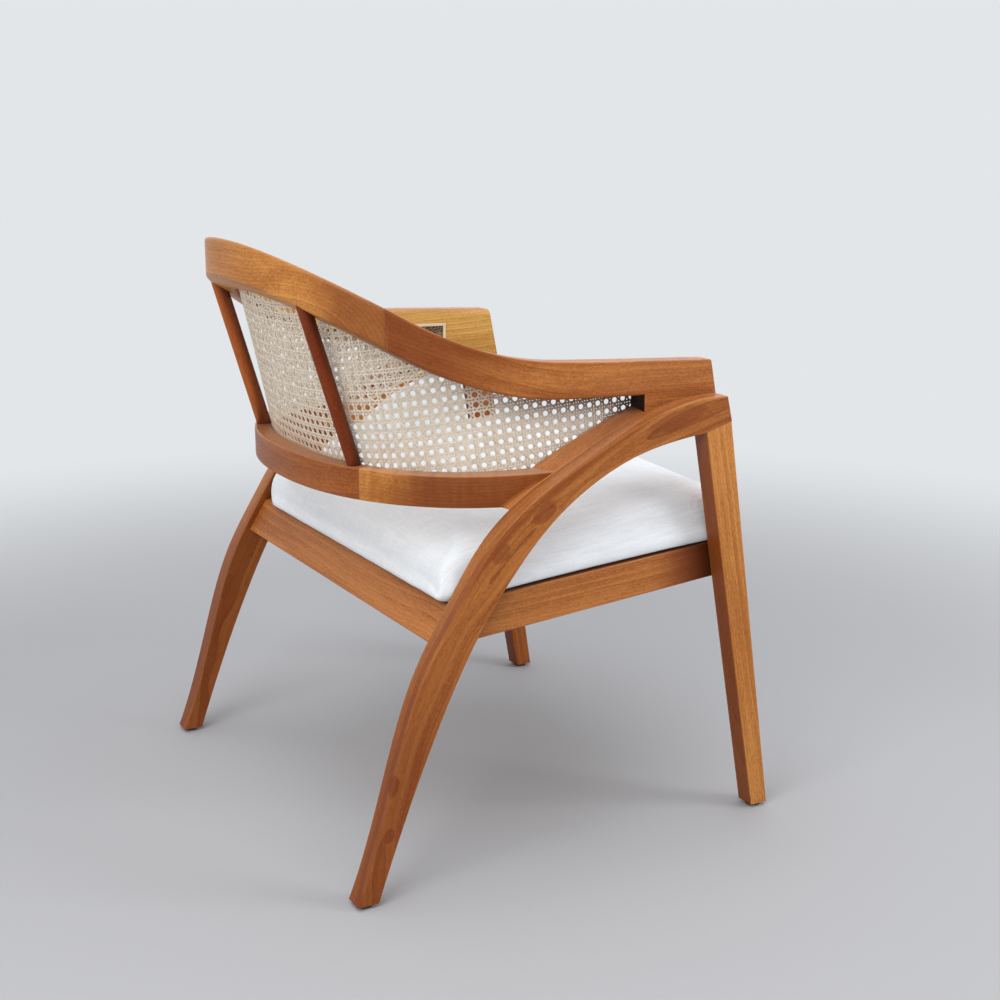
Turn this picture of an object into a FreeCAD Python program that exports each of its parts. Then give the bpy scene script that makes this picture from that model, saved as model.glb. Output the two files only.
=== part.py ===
import FreeCAD, Part
import math
import os

from FreeCAD import Vector

# A wooden armchair with a caned horseshoe back and an upholstered seat.
# Millimetres. The chair faces -Y, +Z is up, and +X is the sitter's left.
# The origin is on the floor, under the middle of the chair's box.

# Side frames: a curved rear leg board and a front leg, in one flat plane each side
LEG_INNER = 311.0
LEG_THICK = 29.0
GLIDE_HEIGHT = 5.0
REAR_EDGE = [(303, 5), (249, 171), (208, 286), (164, 362), (107, 443), (43, 493),
             (-35, 534), (-110, 569), (-170, 585), (-230, 588.5)]
FRONT_EDGE = [(275, 5), (228, 130), (186, 227), (137, 321), (90, 389), (21, 462),
              (-36, 500), (-95, 525), (-155, 538), (-198.5, 543)]
LEG_JOINT_FRONT = (-238.0, 555.0)
FRONT_FOOT = (-322.5, -295.5)
LEG_EASING = 1.5

# Crest rail and arms: one horseshoe in plan, bent in side view
CREST_HALF = 311.0
CREST_DEPTH = 444.0
CREST_CENTRE_Y = -121.5
CREST_POWER = 2.325
ARM_THICK = 32.0
CREST_THICK = 38.0
CREST_TOP_REAR = (322.5, 788.2)
CREST_LOW_REAR = (322.5, 738.5)
CREST_REAR_SLOPE = 0.605
ARM_TOP_FRONT = (-223.3, 633.0)
ARM_TOP_SLOPE = 0.055
ARM_LOW_FRONT = (-223.3, 591.5)
ARM_LOW_SLOPE = 0.03
CREST_BEND = 385.0
CREST_JOINT_ANGLE = 46.0
ARM_END_SLOPE = 0.2
BLOCK_REAR_Y = -121.0
BLOCK_LOW = (536.0, 547.0)
BLOCK_RISE = 18.0
BLOCK_INSET = 0.2
CREST_OUTER_EASING = 1.5
CREST_INNER_EASING = 8.0
ARM_END_EASING = 4.0
CREST_LOW_EASING = 3.5

# Lower back rail: a level horseshoe
LOWER_Z = (470.0, 511.0)
LOWER_HALF = 311.0
LOWER_DEPTH = 264.0
LOWER_CENTRE_Y = -10.5
LOWER_POWER = 2.25
LOWER_INNER_HALF = 279.0
LOWER_INNER_DEPTH = 236.5
LOWER_INNER_POWER = 2.5
LOWER_JOINT_ANGLE = 32.2
LOWER_END_Y = 10.0
LOWER_EASING = 2.5

# Cheeks: boards inside the side frames that carry the cane's lower front edge.
# Their tops start flush with the legs and rise inwards.
CHEEK_TOP_OUTER = [(77.0, 470), (28, 501.7), (-35, 534), (-80, 556.3), (-121, 572.9)]
CHEEK_TOP_INNER = [(82.5, 470), (28, 511), (-35, 542), (-80, 562), (-121, 577)]
CHEEK_LOW = [(3, 470), (-60, 516), (-121, 536)]

# Back slats
SLAT_FOOT = (155.5, 213.0, 511.0)
SLAT_HEAD = (150.5, 271.7, 708.0)
SLAT_WIDTH = 15.0
SLAT_DEPTH = 20.0
SLAT_TURN = 72.0
SLAT_TENON = 10.0
SLAT_TENON_LENGTH = 14.0

# Cane panel and its reed splines
CANE_THICK = 2.0
CANE_GAP = 1.0
CANE_LAP = 18.0
CANE_FRONT_Y = -138.0
CANE_FRONT_LOW = 560.0
CANE_FOOT_Z = 510.0
CANE_COLUMNS = 12
CANE_OPENING = 40.0
CANE_ROW_PITCH = 51.0
CANE_MARGIN = 8.0
SPLINE_HEIGHT = 4.5
SPLINE_THICK = 2.4
SPLINE_GAP = 0.3

# Seat frame: its top plane falls towards the rear
SEAT_Z = 368.7
SEAT_SLOPE = 0.0697
RAIL_HEIGHT = 48.0
SIDE_RAIL_OUTER = 305.0
SIDE_RAIL_THICK = 22.0
SIDE_RAIL_REAR_LOW = 304.6
REAR_RAIL_TOP_Y = 156.0
REAR_RAIL_LEAN = 29.3
REAR_RAIL_THICK = 25.0
REAR_RAIL_HEIGHT = 46.3
FRONT_RAIL_TOP_Y = -256.0
FRONT_RAIL_LEAN = -7.4
FRONT_RAIL_THICK = 22.0
BLOCK_SIZE = 52.0
BLOCK_OVERLAP = 6.0
CORNER_BLOCK_HEIGHT = 30.0
RAIL_EASING = 2.0

# Seat board and pad
BOARD_HALF = 290.0
BOARD_THICK = 12.0
BOARD_Y = (-250.0, 146.0)
PAD_REAR = 170.0
PAD_FRONT = -290.0
PAD_HALF = 308.0
PAD_SIDE = 74.0
PAD_CROWN = 12.0
PAD_LIFT = 0.5
PAD_LOW_DRAW = 3.0
PAD_BELLY = 0.4
PAD_SHOULDER = 0.72
PAD_SHOULDER_DRAW = 5.0
PAD_CURVE = 0.92
PAD_CURVE_DRAW = 14.0
PAD_RIM_DRAW = 34.0
PAD_WAIST = 3.0
PAD_REAR_ROUND = 55.0
PAD_FRONT_ROUND = 48.0
PAD_REAR_RISE = 0.9
PAD_FRONT_RISE = 1.05
PAD_END_RISE = 0.25
PAD_END_BASE = 6.0
PAD_END_DRAW = 14.0
PAD_LIP_CROWN = 0.2
PAD_END_CROWN = 0.7
PAD_ROUND_STEPS = 5
PAD_MIDDLE_STEPS = 4

# Dowels, screws and glides
DOWEL = 8.0
DOWEL_LENGTH = 40.0
CREST_DOWEL_RISE = (-10.0, 10.0)
LOWER_DOWEL_RISE = (8.0, 20.0)
LOWER_DOWEL_LENGTH = 26.0
LEG_DOWEL_SHARE = (0.27, 0.73)
ARM_DOWELS = [(-150, 560), (-205, 567)]
CHEEK_DOWELS = [(-80, 540), (20, 488)]
REAR_RAIL_DOWELS = [(149.6, 349), (164.7, 325)]
FRONT_RAIL_DOWELS = [(-250.5, 350), (-246.8, 374)]
SIDE_RAIL_DOWEL_FRONT = (-237.7, 361.0)
SIDE_RAIL_DOWEL_REAR = (144.8, 337.6)
SIDE_RAIL_DOWEL_LENGTH = 34.0
SCREW = 4.0
SCREW_LENGTH = 38.0
SCREW_HEAD = 8.0
SCREW_HEAD_HEIGHT = 3.0
GLIDE = 20.0
GLIDE_PIN = 4.0
GLIDE_PIN_LENGTH = 18.0

WIDE = 700.0
LEG_OUTER = LEG_INNER + LEG_THICK
LEG_MIDDLE = LEG_INNER + LEG_THICK / 2


def save(shape, node):
    shape.exportStep("parts/" + node + ".step")


def mirrored(shape):
    return shape.mirror(Vector(0, 0, 0), Vector(1, 0, 0))


def polygon(points):
    return Part.makePolygon(points + [points[0]])


def side_prism(points, low_x, high_x):
    """A flat outline in side view, given as (y, z) pairs, made solid from low_x to high_x."""
    outline = polygon([Vector(low_x, y, z) for y, z in points])
    return Part.Face(outline).extrude(Vector(high_x - low_x, 0, 0))


def smooth(points):
    curve = Part.BSplineCurve()
    curve.interpolate(points)
    return curve.toShape()


def side_curve(points, x):
    return smooth([Vector(x, y, z) for y, z in points])


def side_line(start, end, x):
    return Part.makeLine(Vector(x, start[0], start[1]), Vector(x, end[0], end[1]))


def rod(start, direction, diameter, length):
    return Part.makeCylinder(diameter / 2, length, start, direction)


def dowel(middle, direction, length=DOWEL_LENGTH):
    unit = Vector(direction).normalize()
    return rod(middle - unit * (length / 2), unit, DOWEL, length)


def eased(shape, radius, longer_than):
    """Round every edge longer than the given length."""
    return shape.makeFillet(radius, [edge for edge in shape.Edges if edge.Length > longer_than])


def bend(rear, rear_slope, front, front_slope):
    """Two straight runs in side view joined by one arc, as its tangent points and centre."""
    rear_level = rear[1] - rear_slope * rear[0]
    front_level = front[1] - front_slope * front[0]
    corner_y = (front_level - rear_level) / (rear_slope - front_slope)
    corner_z = rear[1] + rear_slope * (corner_y - rear[0])
    steep = math.atan(rear_slope)
    flat = math.atan(front_slope)
    reach = CREST_BEND * math.tan((steep - flat) / 2)
    start = (corner_y + reach * math.cos(steep), corner_z + reach * math.sin(steep))
    end = (corner_y - reach * math.cos(flat), corner_z - reach * math.sin(flat))
    centre = (end[0] - CREST_BEND * math.sin(flat), end[1] + CREST_BEND * math.cos(flat))
    turn = (steep + flat) / 2
    middle = (centre[0] + CREST_BEND * math.sin(turn), centre[1] - CREST_BEND * math.cos(turn))
    return {"rear": rear, "rear_slope": rear_slope, "front": front, "front_slope": front_slope,
            "start": start, "middle": middle, "end": end, "centre": centre}


def bend_height(run, y):
    if y >= run["start"][0]:
        return run["rear"][1] + run["rear_slope"] * (y - run["rear"][0])
    if y <= run["end"][0]:
        return run["front"][1] + run["front_slope"] * (y - run["front"][0])
    return run["centre"][1] - math.sqrt(CREST_BEND ** 2 - (y - run["centre"][0]) ** 2)


def bend_edges(run, rear_y, front_y, x):
    rear = (rear_y, bend_height(run, rear_y))
    front = (front_y, bend_height(run, front_y))
    arc = Part.Arc(*[Vector(x, point[0], point[1]) for point in (run["start"], run["middle"], run["end"])])
    return [side_line(rear, run["start"], x), arc.toShape(), side_line(run["end"], front, x)]


def horseshoe(half, depth, centre_y, power, end_y, steps=14):
    """Plan points from the rear middle round to the +X front end."""
    points = []
    for step in range(steps + 1):
        angle = math.pi / 2 * step / steps
        x = half * math.sin(angle) ** (2 / power)
        y = centre_y + depth * math.cos(angle) ** (2 / power)
        points.append((x, y))
    points[0] = (0.0, centre_y + depth)
    points[-1] = (half, centre_y)
    if end_y < centre_y:
        straight = 4
        for step in range(1, straight + 1):
            points.append((half, centre_y + (end_y - centre_y) * step / straight))
    return points


def both_sides(points):
    return [(-x, y) for x, y in reversed(points[1:])] + points


def ring(outer, inner, end_y, low_z, high_z):
    """A horseshoe rail with upright faces; outer and inner are (half, depth, centre_y, power)."""
    outer_points = [Vector(x, y, low_z) for x, y in both_sides(horseshoe(*outer, end_y))]
    inner_points = [Vector(x, y, low_z) for x, y in both_sides(horseshoe(*inner, end_y))]
    outline = Part.Wire([smooth(outer_points), Part.makeLine(outer_points[-1], inner_points[-1]),
                         smooth(inner_points[::-1]), Part.makeLine(inner_points[0], outer_points[0])])
    return Part.Face(outline).extrude(Vector(0, 0, high_z - low_z))


def plan_point(shape, angle):
    half, depth, centre_y, power = shape
    turn = math.radians(angle)
    x = half * math.sin(turn) ** (2 / power)
    y = centre_y + depth * math.cos(turn) ** (2 / power)
    return x, y


def joint_frame(shape, angle):
    """Point on the outer curve and the unit direction along it, towards the front."""
    x, y = plan_point(shape, angle)
    ahead_x, ahead_y = plan_point(shape, angle + 0.5)
    along = Vector(ahead_x - x, ahead_y - y, 0).normalize()
    return Vector(x, y, 0), along


def half_space(point, along):
    """A large block on the front side of an upright joint plane, +X side only."""
    block = Part.makeBox(WIDE, WIDE, 2 * WIDE, Vector(0, -WIDE / 2, 0))
    block.rotate(Vector(0, 0, 0), Vector(0, 0, 1), math.degrees(math.atan2(along.y, along.x)))
    block.translate(point)
    return block.common(Part.makeBox(WIDE, 2 * WIDE, 2 * WIDE, Vector(0, -WIDE, 0)))


def ruled_panel(high_outer, low_outer, high_inner, low_inner):
    """A thin curved panel between four lines of points with the same count."""
    edges = [smooth(points) for points in (high_outer, low_outer, low_inner, high_inner)]
    faces = [Part.makeRuledSurface(edges[i], edges[(i + 1) % 4]) for i in range(4)]
    for end in (0, -1):
        faces.append(Part.Face(polygon([high_outer[end], low_outer[end], low_inner[end], high_inner[end]])))
    shell = Part.makeShell(faces)
    shell.sewShape()
    panel = Part.makeSolid(shell)
    if panel.Volume < 0:
        panel.reverse()
    return panel


def on_seat(shape):
    """Move a shape built level, with the rails' top at zero, into the sloping seat plane."""
    shape.rotate(Vector(0, 0, 0), Vector(1, 0, 0), -math.degrees(math.atan(SEAT_SLOPE)))
    shape.translate(Vector(0, 0, SEAT_Z))
    return shape


def seat_height(y):
    return SEAT_Z - SEAT_SLOPE * y


def pad_section(y, base, side, half, crown):
    """One upright section across the pad: flat base, swelling sides, rounded shoulders and a crown."""
    low = half - PAD_LOW_DRAW
    half_profile = [(low, 0), (half, PAD_BELLY * side), (half - PAD_SHOULDER_DRAW, PAD_SHOULDER * side),
                    (half - PAD_CURVE_DRAW, PAD_CURVE * side), (half - PAD_RIM_DRAW, side)]
    other_half = [(-x, rise) for x, rise in reversed(half_profile)]
    profile = half_profile + [(0, side + crown)] + other_half
    points = [Vector(x, y, base + rise) for x, rise in profile]
    edges = [Part.makeLine(points[-1], points[0])]
    for start in range(0, len(points) - 1, 2):
        edges.append(Part.Arc(*points[start:start + 3]).toShape())
    return Part.Wire(edges)


os.makedirs("parts", exist_ok=True)

# Glides with their pins, one under each foot
rear_foot_y = (REAR_EDGE[0][0] + FRONT_EDGE[0][0]) / 2
front_foot_y = (FRONT_FOOT[0] + FRONT_FOOT[1]) / 2
glides = []
for foot_y in (rear_foot_y, front_foot_y):
    disc = rod(Vector(LEG_MIDDLE, foot_y, 0), Vector(0, 0, 1), GLIDE, GLIDE_HEIGHT)
    pin = rod(Vector(LEG_MIDDLE, foot_y, 0), Vector(0, 0, 1), GLIDE_PIN, GLIDE_HEIGHT + GLIDE_PIN_LENGTH)
    glides.append(disc.fuse(pin))

# Side frames
leg_edges = [side_curve(REAR_EDGE, LEG_INNER),
             side_line(REAR_EDGE[-1], LEG_JOINT_FRONT, LEG_INNER),
             side_line(LEG_JOINT_FRONT, FRONT_EDGE[-1], LEG_INNER),
             side_curve(FRONT_EDGE, LEG_INNER),
             side_line(FRONT_EDGE[0], REAR_EDGE[0], LEG_INNER)]
leg_outline = Part.Wire(Part.__sortEdges__(leg_edges))
rear_leg = Part.Face(leg_outline).extrude(Vector(LEG_THICK, 0, 0))
front_leg = side_prism([FRONT_EDGE[-1], LEG_JOINT_FRONT, (FRONT_FOOT[0], GLIDE_HEIGHT),
                        (FRONT_FOOT[1], GLIDE_HEIGHT)], LEG_INNER, LEG_OUTER)

# Crest and arms, rounded as one horseshoe and then parted at the joints
outer_plan = (CREST_HALF, CREST_DEPTH, CREST_CENTRE_Y, CREST_POWER)
inner_plan = (CREST_HALF - ARM_THICK, CREST_DEPTH - CREST_THICK, CREST_CENTRE_Y, CREST_POWER)
top_run = bend(CREST_TOP_REAR, CREST_REAR_SLOPE, ARM_TOP_FRONT, ARM_TOP_SLOPE)
low_run = bend(CREST_LOW_REAR, CREST_REAR_SLOPE, ARM_LOW_FRONT, ARM_LOW_SLOPE)


def front_line(z):
    """The sloping front end of the arms in side view."""
    return ARM_TOP_FRONT[0] - ARM_END_SLOPE * (ARM_TOP_FRONT[1] - z), z


def crest_edges(shape, run, plan):
    """Edges where the top or underside of the crest meets its outer or inner face."""
    half, depth, centre_y, power = plan

    def lies(point):
        reach = max(0.0, point.y - centre_y) / depth
        across = (abs(point.x) / half) ** power + reach ** power
        return abs(point.z - bend_height(run, point.y)) < 0.3 and abs(across - 1) < 0.006

    return [edge for edge in shape.Edges if all(lies(point) for point in edge.discretize(7))]


beyond_rear = CREST_TOP_REAR[0] + 20
top_front = front_line(ARM_TOP_FRONT[1])
low_front = front_line(ARM_LOW_FRONT[1])
band_edges = bend_edges(top_run, beyond_rear, top_front[0], -WIDE / 2)
band_edges += bend_edges(low_run, beyond_rear, low_front[0], -WIDE / 2)
band_edges.append(side_line((beyond_rear, bend_height(top_run, beyond_rear)),
                            (beyond_rear, bend_height(low_run, beyond_rear)), -WIDE / 2))
band_edges.append(side_line(top_front, (low_front[0], bend_height(low_run, low_front[0])), -WIDE / 2))
band = Part.Face(Part.Wire(Part.__sortEdges__(band_edges))).extrude(Vector(WIDE, 0, 0))
crest = ring(outer_plan, inner_plan, CREST_CENTRE_Y - 150, 540, 820).common(band)
crest_easings = [(top_run, outer_plan, CREST_OUTER_EASING),
                 (top_run, inner_plan, CREST_INNER_EASING),
                 (low_run, outer_plan, CREST_LOW_EASING),
                 (low_run, inner_plan, CREST_LOW_EASING)]
for run, plan, radius in crest_easings:
    crest = crest.makeFillet(radius, crest_edges(crest, run, plan))
crest_joint, crest_along = joint_frame(outer_plan, CREST_JOINT_ANGLE)
front_part = half_space(crest_joint, crest_along)
crest_centre = crest.cut(front_part).cut(mirrored(front_part))
block_top = ARM_LOW_FRONT[1] + BLOCK_RISE
arm_block = side_prism([(BLOCK_REAR_Y, BLOCK_LOW[0]), front_line(BLOCK_LOW[1]),
                        front_line(block_top), (BLOCK_REAR_Y, block_top)],
                       CREST_HALF - ARM_THICK + BLOCK_INSET, CREST_HALF - BLOCK_INSET)
arm = crest.common(front_part).fuse(arm_block).removeSplitter()

# Round the arms' front top corner by cutting away what lies outside its arc
tip = Vector(0, top_front[0], top_front[1])
back_way = Vector(0, 1, ARM_TOP_SLOPE).normalize()
down_way = Vector(0, -ARM_END_SLOPE, -1).normalize()
half_angle = back_way.getAngle(down_way) / 2
arc_start = tip + back_way * (ARM_END_EASING / math.tan(half_angle))
arc_end = tip + down_way * (ARM_END_EASING / math.tan(half_angle))
inward_way = (back_way + down_way).normalize()
arc_middle = tip + inward_way * (ARM_END_EASING / math.sin(half_angle) - ARM_END_EASING)
outside = tip - inward_way * 2
trim = Part.Wire([Part.Arc(arc_start, arc_middle, arc_end).toShape(),
                  Part.makeLine(arc_end, outside), Part.makeLine(outside, arc_start)])
arm = arm.cut(Part.Face(trim).extrude(Vector(WIDE / 2, 0, 0)))


# Cheeks
def cheek_outline(x):
    """The cheek's outline in side view at one place across its thickness."""
    share = (CREST_HALF - x) / ARM_THICK
    top = []
    for outer, inner in zip(CHEEK_TOP_OUTER, CHEEK_TOP_INNER):
        top.append((outer[0] + (inner[0] - outer[0]) * share, outer[1] + (inner[1] - outer[1]) * share))
    edges = [side_curve(top, x), side_line(top[-1], CHEEK_LOW[-1], x),
             side_curve(CHEEK_LOW, x), side_line(CHEEK_LOW[0], top[0], x)]
    return Part.Wire(Part.__sortEdges__(edges))


cheek_inner = CREST_HALF - ARM_THICK
cheek = Part.makeLoft([cheek_outline(cheek_inner), cheek_outline(CREST_HALF)], True, True)

# Lower back rail, its ends coped over the cheeks
lower_outer = (LOWER_HALF, LOWER_DEPTH, LOWER_CENTRE_Y, LOWER_POWER)
lower_inner = (LOWER_INNER_HALF, LOWER_INNER_DEPTH, LOWER_CENTRE_Y, LOWER_INNER_POWER)
lower = ring(lower_outer, lower_inner, LOWER_CENTRE_Y - 30, LOWER_Z[0], LOWER_Z[1])
lower = eased(lower, LOWER_EASING, 300)
lower = lower.common(Part.makeBox(WIDE, WIDE, WIDE, Vector(-WIDE / 2, LOWER_END_Y, 0)))
lower_joint, lower_along = joint_frame(lower_outer, LOWER_JOINT_ANGLE)
lower_front = half_space(lower_joint, lower_along)
lower_centre = lower.cut(lower_front).cut(mirrored(lower_front))
cope = Part.Face(cheek_outline(cheek_inner)).extrude(Vector(-ARM_THICK / 2, 0, 0))
lower_side = lower.common(lower_front).cut(cheek).cut(cope)

# Back slats with turned tenons
slat_foot = Vector(*SLAT_FOOT)
slat_head = Vector(*SLAT_HEAD)
slat_axis = (slat_head - slat_foot).normalize()
slat_start = slat_foot - slat_axis * 40
slat_edge = Part.Ellipse(slat_start, SLAT_DEPTH / 2, SLAT_WIDTH / 2).toShape()
slat_lean = FreeCAD.Rotation(Vector(0, 0, 1), slat_axis)
slat_turn = slat_lean.multiply(FreeCAD.Rotation(Vector(0, 0, 1), SLAT_TURN))
slat_edge.rotate(slat_start, slat_turn.Axis, math.degrees(slat_turn.Angle))
slat = Part.Face(Part.Wire([slat_edge])).extrude(slat_axis * 330)
gap_edges = bend_edges(low_run, beyond_rear, 0, 0)
gap_edges.append(side_line((beyond_rear, bend_height(low_run, beyond_rear)), (beyond_rear, LOWER_Z[1]), 0))
gap_edges.append(side_line((beyond_rear, LOWER_Z[1]), (0, LOWER_Z[1]), 0))
gap_edges.append(side_line((0, LOWER_Z[1]), (0, bend_height(low_run, 0)), 0))
slat_gap = Part.Face(Part.Wire(Part.__sortEdges__(gap_edges))).extrude(Vector(WIDE / 2, 0, 0))
tenon_span = (slat_head - slat_foot).Length + 2 * SLAT_TENON_LENGTH
tenon = rod(slat_foot - slat_axis * SLAT_TENON_LENGTH, slat_axis, SLAT_TENON, tenon_span)
slat = slat.common(slat_gap).fuse(tenon).removeSplitter()


# Cane panel and its reed splines
def high_line(clear, shift):
    """The cane's upper line on the crest and arms, clear of their inner face and shifted upwards."""
    plan = horseshoe(inner_plan[0] - clear, inner_plan[1] - clear, CREST_CENTRE_Y, CREST_POWER, CANE_FRONT_Y)
    return [Vector(x, y, bend_height(low_run, y) + CANE_LAP + shift) for x, y in both_sides(plan)]


def low_line(clear, shift):
    """The cane's lower line: level on the lower rail, then climbing along the cheeks."""
    plan = horseshoe(LOWER_INNER_HALF - clear, LOWER_INNER_DEPTH - clear, LOWER_CENTRE_Y,
                     LOWER_INNER_POWER, CANE_FRONT_Y)
    points = []
    for x, y in both_sides(plan):
        climb = max(0.0, (LOWER_CENTRE_Y - y) / (LOWER_CENTRE_Y - CANE_FRONT_Y))
        points.append(Vector(x, y, CANE_FOOT_Z + (CANE_FRONT_LOW - CANE_FOOT_Z) * climb + shift))
    return points


def between(points, place):
    """A point part of the way along a row of points, with place counted in points."""
    first = min(int(place), len(points) - 2)
    return points[first] + (points[first + 1] - points[first]) * (place - first)


def cane_columns():
    """Places of the columns of openings, evenly spaced along the panel's half height."""
    middle = [(low + high) * 0.5 for low, high in zip(low_line(CANE_GAP, 0), high_line(CANE_GAP, 0))]
    reach = [0.0]
    for start, end in zip(middle, middle[1:]):
        reach.append(reach[-1] + (end - start).Length)
    places = []
    for column in range(CANE_COLUMNS):
        target = reach[-1] * (column + 0.5) / CANE_COLUMNS
        first = max(i for i in range(len(reach) - 1) if reach[i] <= target)
        places.append(first + (target - reach[first]) / (reach[first + 1] - reach[first]))
    return places


def cane_openings():
    """Round cutters in columns up the panel, as many rows in each as its height allows."""
    low = low_line(CANE_GAP, 0)
    high = high_line(CANE_GAP, 0)
    cutters = []
    for place in cane_columns():
        foot = between(low, place)
        upward = between(high, place) - foot
        room = upward.Length - 2 * CANE_MARGIN
        middle = foot + upward * 0.5
        ahead = between(low, place + 0.1) + between(high, place + 0.1)
        behind = between(low, place - 0.1) + between(high, place - 0.1)
        outward = upward.cross(ahead - behind).normalize()
        upward.normalize()
        rows = max(1, int((room + CANE_ROW_PITCH - CANE_OPENING) / CANE_ROW_PITCH))
        for row in range(rows):
            centre = middle + upward * ((row - (rows - 1) / 2) * CANE_ROW_PITCH)
            cutters.append(rod(centre - outward * 10, outward, min(CANE_OPENING, room), 20))
    return cutters


cane_back = CANE_GAP + CANE_THICK
cane = ruled_panel(high_line(CANE_GAP, 0), low_line(CANE_GAP, 0),
                   high_line(cane_back, 0), low_line(cane_back, 0))
cane = cane.cut(Part.makeCompound(cane_openings()))
near_face = SPLINE_GAP
far_face = SPLINE_GAP + SPLINE_THICK
near_edge = SPLINE_GAP
far_edge = SPLINE_GAP + SPLINE_HEIGHT
spline_upper = ruled_panel(high_line(near_face, far_edge), high_line(near_face, near_edge),
                           high_line(far_face, far_edge), high_line(far_face, near_edge))
spline_lower = ruled_panel(low_line(near_face, -near_edge), low_line(near_face, -far_edge),
                           low_line(far_face, -near_edge), low_line(far_face, -far_edge))
spline_top = bend_height(low_run, CANE_FRONT_Y) + CANE_LAP + far_edge
spline_base = CANE_FRONT_LOW - far_edge
spline_front = Part.makeBox(SPLINE_THICK, SPLINE_HEIGHT, spline_top - spline_base,
                            Vector(cheek_inner - far_face, CANE_FRONT_Y - far_edge, spline_base))


# Seat frame
def leaning_rail(top_y, lean, thick, drop):
    """A rail across the chair whose faces lean; top_y is its outer top edge."""
    inward = -thick if top_y > 0 else thick
    outline = [(top_y, seat_height(top_y)), (top_y + lean, seat_height(top_y) - drop),
               (top_y + lean + inward, seat_height(top_y + inward) - drop),
               (top_y + inward, seat_height(top_y + inward))]
    return side_prism(outline, -LEG_INNER, LEG_INNER), outline


rear_rail, rear_outline = leaning_rail(REAR_RAIL_TOP_Y, REAR_RAIL_LEAN, REAR_RAIL_THICK, REAR_RAIL_HEIGHT)
front_rail, front_outline = leaning_rail(FRONT_RAIL_TOP_Y, FRONT_RAIL_LEAN, FRONT_RAIL_THICK, RAIL_HEIGHT)
rail_inner = SIDE_RAIL_OUTER - SIDE_RAIL_THICK
side_rail = side_prism([rear_outline[3], rear_outline[2], (rear_outline[2][0], SIDE_RAIL_REAR_LOW),
                        front_outline[2], front_outline[3]],
                       rail_inner, SIDE_RAIL_OUTER)

# Corner blocks, drawn a little into the rails and trimmed by them
blocks = {}
screws = []
corner_places = [("front", front_outline[2][0] - BLOCK_OVERLAP, 1), ("rear", REAR_RAIL_TOP_Y - 4, -1)]
for end, corner_y, inward in corner_places:
    corner = Vector(rail_inner + BLOCK_OVERLAP, corner_y, -CORNER_BLOCK_HEIGHT)
    leg = BLOCK_SIZE + BLOCK_OVERLAP
    triangle = polygon([corner, corner - Vector(leg, 0, 0), corner + Vector(0, inward * leg, 0)])
    block = on_seat(Part.Face(triangle).extrude(Vector(0, 0, CORNER_BLOCK_HEIGHT)))
    blocks[end] = block.cut(side_rail).cut(front_rail).cut(rear_rail)
    seat = corner + Vector(-leg * 0.3, inward * leg * 0.45, 0)
    shank = rod(seat, Vector(0, 0, 1), SCREW, SCREW_LENGTH)
    head = rod(seat - Vector(0, 0, SCREW_HEAD_HEIGHT), Vector(0, 0, 1), SCREW_HEAD, SCREW_HEAD_HEIGHT)
    screws.append(on_seat(shank.fuse(head)))

# Seat board, and the pad that is drawn over it
board_depth = BOARD_Y[1] - BOARD_Y[0]
board = on_seat(Part.makeBox(2 * BOARD_HALF, board_depth, BOARD_THICK, Vector(-BOARD_HALF, BOARD_Y[0], 0)))
board_room = on_seat(Part.makeBox(2 * BOARD_HALF + 1, board_depth + 1, BOARD_THICK + 0.5,
                                  Vector(-BOARD_HALF - 0.5, BOARD_Y[0] - 0.5, 0)))
pad_sections = []
pad_ends = [(PAD_REAR, -PAD_REAR_ROUND, PAD_REAR_RISE), (PAD_FRONT, PAD_FRONT_ROUND, PAD_FRONT_RISE)]
for end_y, reach, rise in pad_ends:
    end_sections = []
    for step in range(PAD_ROUND_STEPS):
        turn = math.pi / 2 * step / PAD_ROUND_STEPS
        fullness = math.sin(turn)
        slack = 1 - fullness
        end_side = PAD_SIDE * rise * (PAD_END_RISE + (1 - PAD_END_RISE) * fullness)
        end_crown = PAD_CROWN * (PAD_LIP_CROWN + (PAD_END_CROWN - PAD_LIP_CROWN) * fullness)
        end_sections.append(pad_section(end_y + reach * (1 - math.cos(turn)), PAD_LIFT + PAD_END_BASE * slack,
                                        end_side, PAD_HALF - PAD_END_DRAW * slack, end_crown))
    pad_sections.append(end_sections)
middle_sections = []
middle_span = PAD_FRONT + PAD_FRONT_ROUND - (PAD_REAR - PAD_REAR_ROUND)
for step in range(PAD_MIDDLE_STEPS + 1):
    way = step / PAD_MIDDLE_STEPS
    swell = math.sin(math.pi * way)
    rise = PAD_REAR_RISE + (PAD_FRONT_RISE - PAD_REAR_RISE) * way
    crown = PAD_CROWN * (PAD_END_CROWN + (1 - PAD_END_CROWN) * swell)
    middle_sections.append(pad_section(PAD_REAR - PAD_REAR_ROUND + middle_span * way, PAD_LIFT,
                                       PAD_SIDE * rise, PAD_HALF - PAD_WAIST * swell, crown))
pad = Part.makeLoft(pad_sections[0] + middle_sections + pad_sections[1][::-1], True, True)
pad = on_seat(pad).cut(board_room)


# Ease the boards' long edges, but not the legs' inner rear edge, where the cheeks lie flush
def meets_cheek(edge):
    return edge.BoundBox.XMax < LEG_INNER + 1 and edge.BoundBox.ZMax > FRONT_EDGE[-1][1] + 20


leg_edges_eased = [edge for edge in rear_leg.Edges if edge.Length > 300 and not meets_cheek(edge)]
rear_leg = rear_leg.makeFillet(LEG_EASING, leg_edges_eased)
front_leg = eased(front_leg, LEG_EASING, 300)
cheek_edges = [edge for edge in cheek.Edges if edge.Length > 100 and edge.BoundBox.XMax < CREST_HALF - 1]
cheek = cheek.makeFillet(RAIL_EASING, cheek_edges)
rear_rail = eased(rear_rail, RAIL_EASING, 300)
front_rail = eased(front_rail, RAIL_EASING, 300)
side_rail = eased(side_rail, RAIL_EASING, 300)

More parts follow.
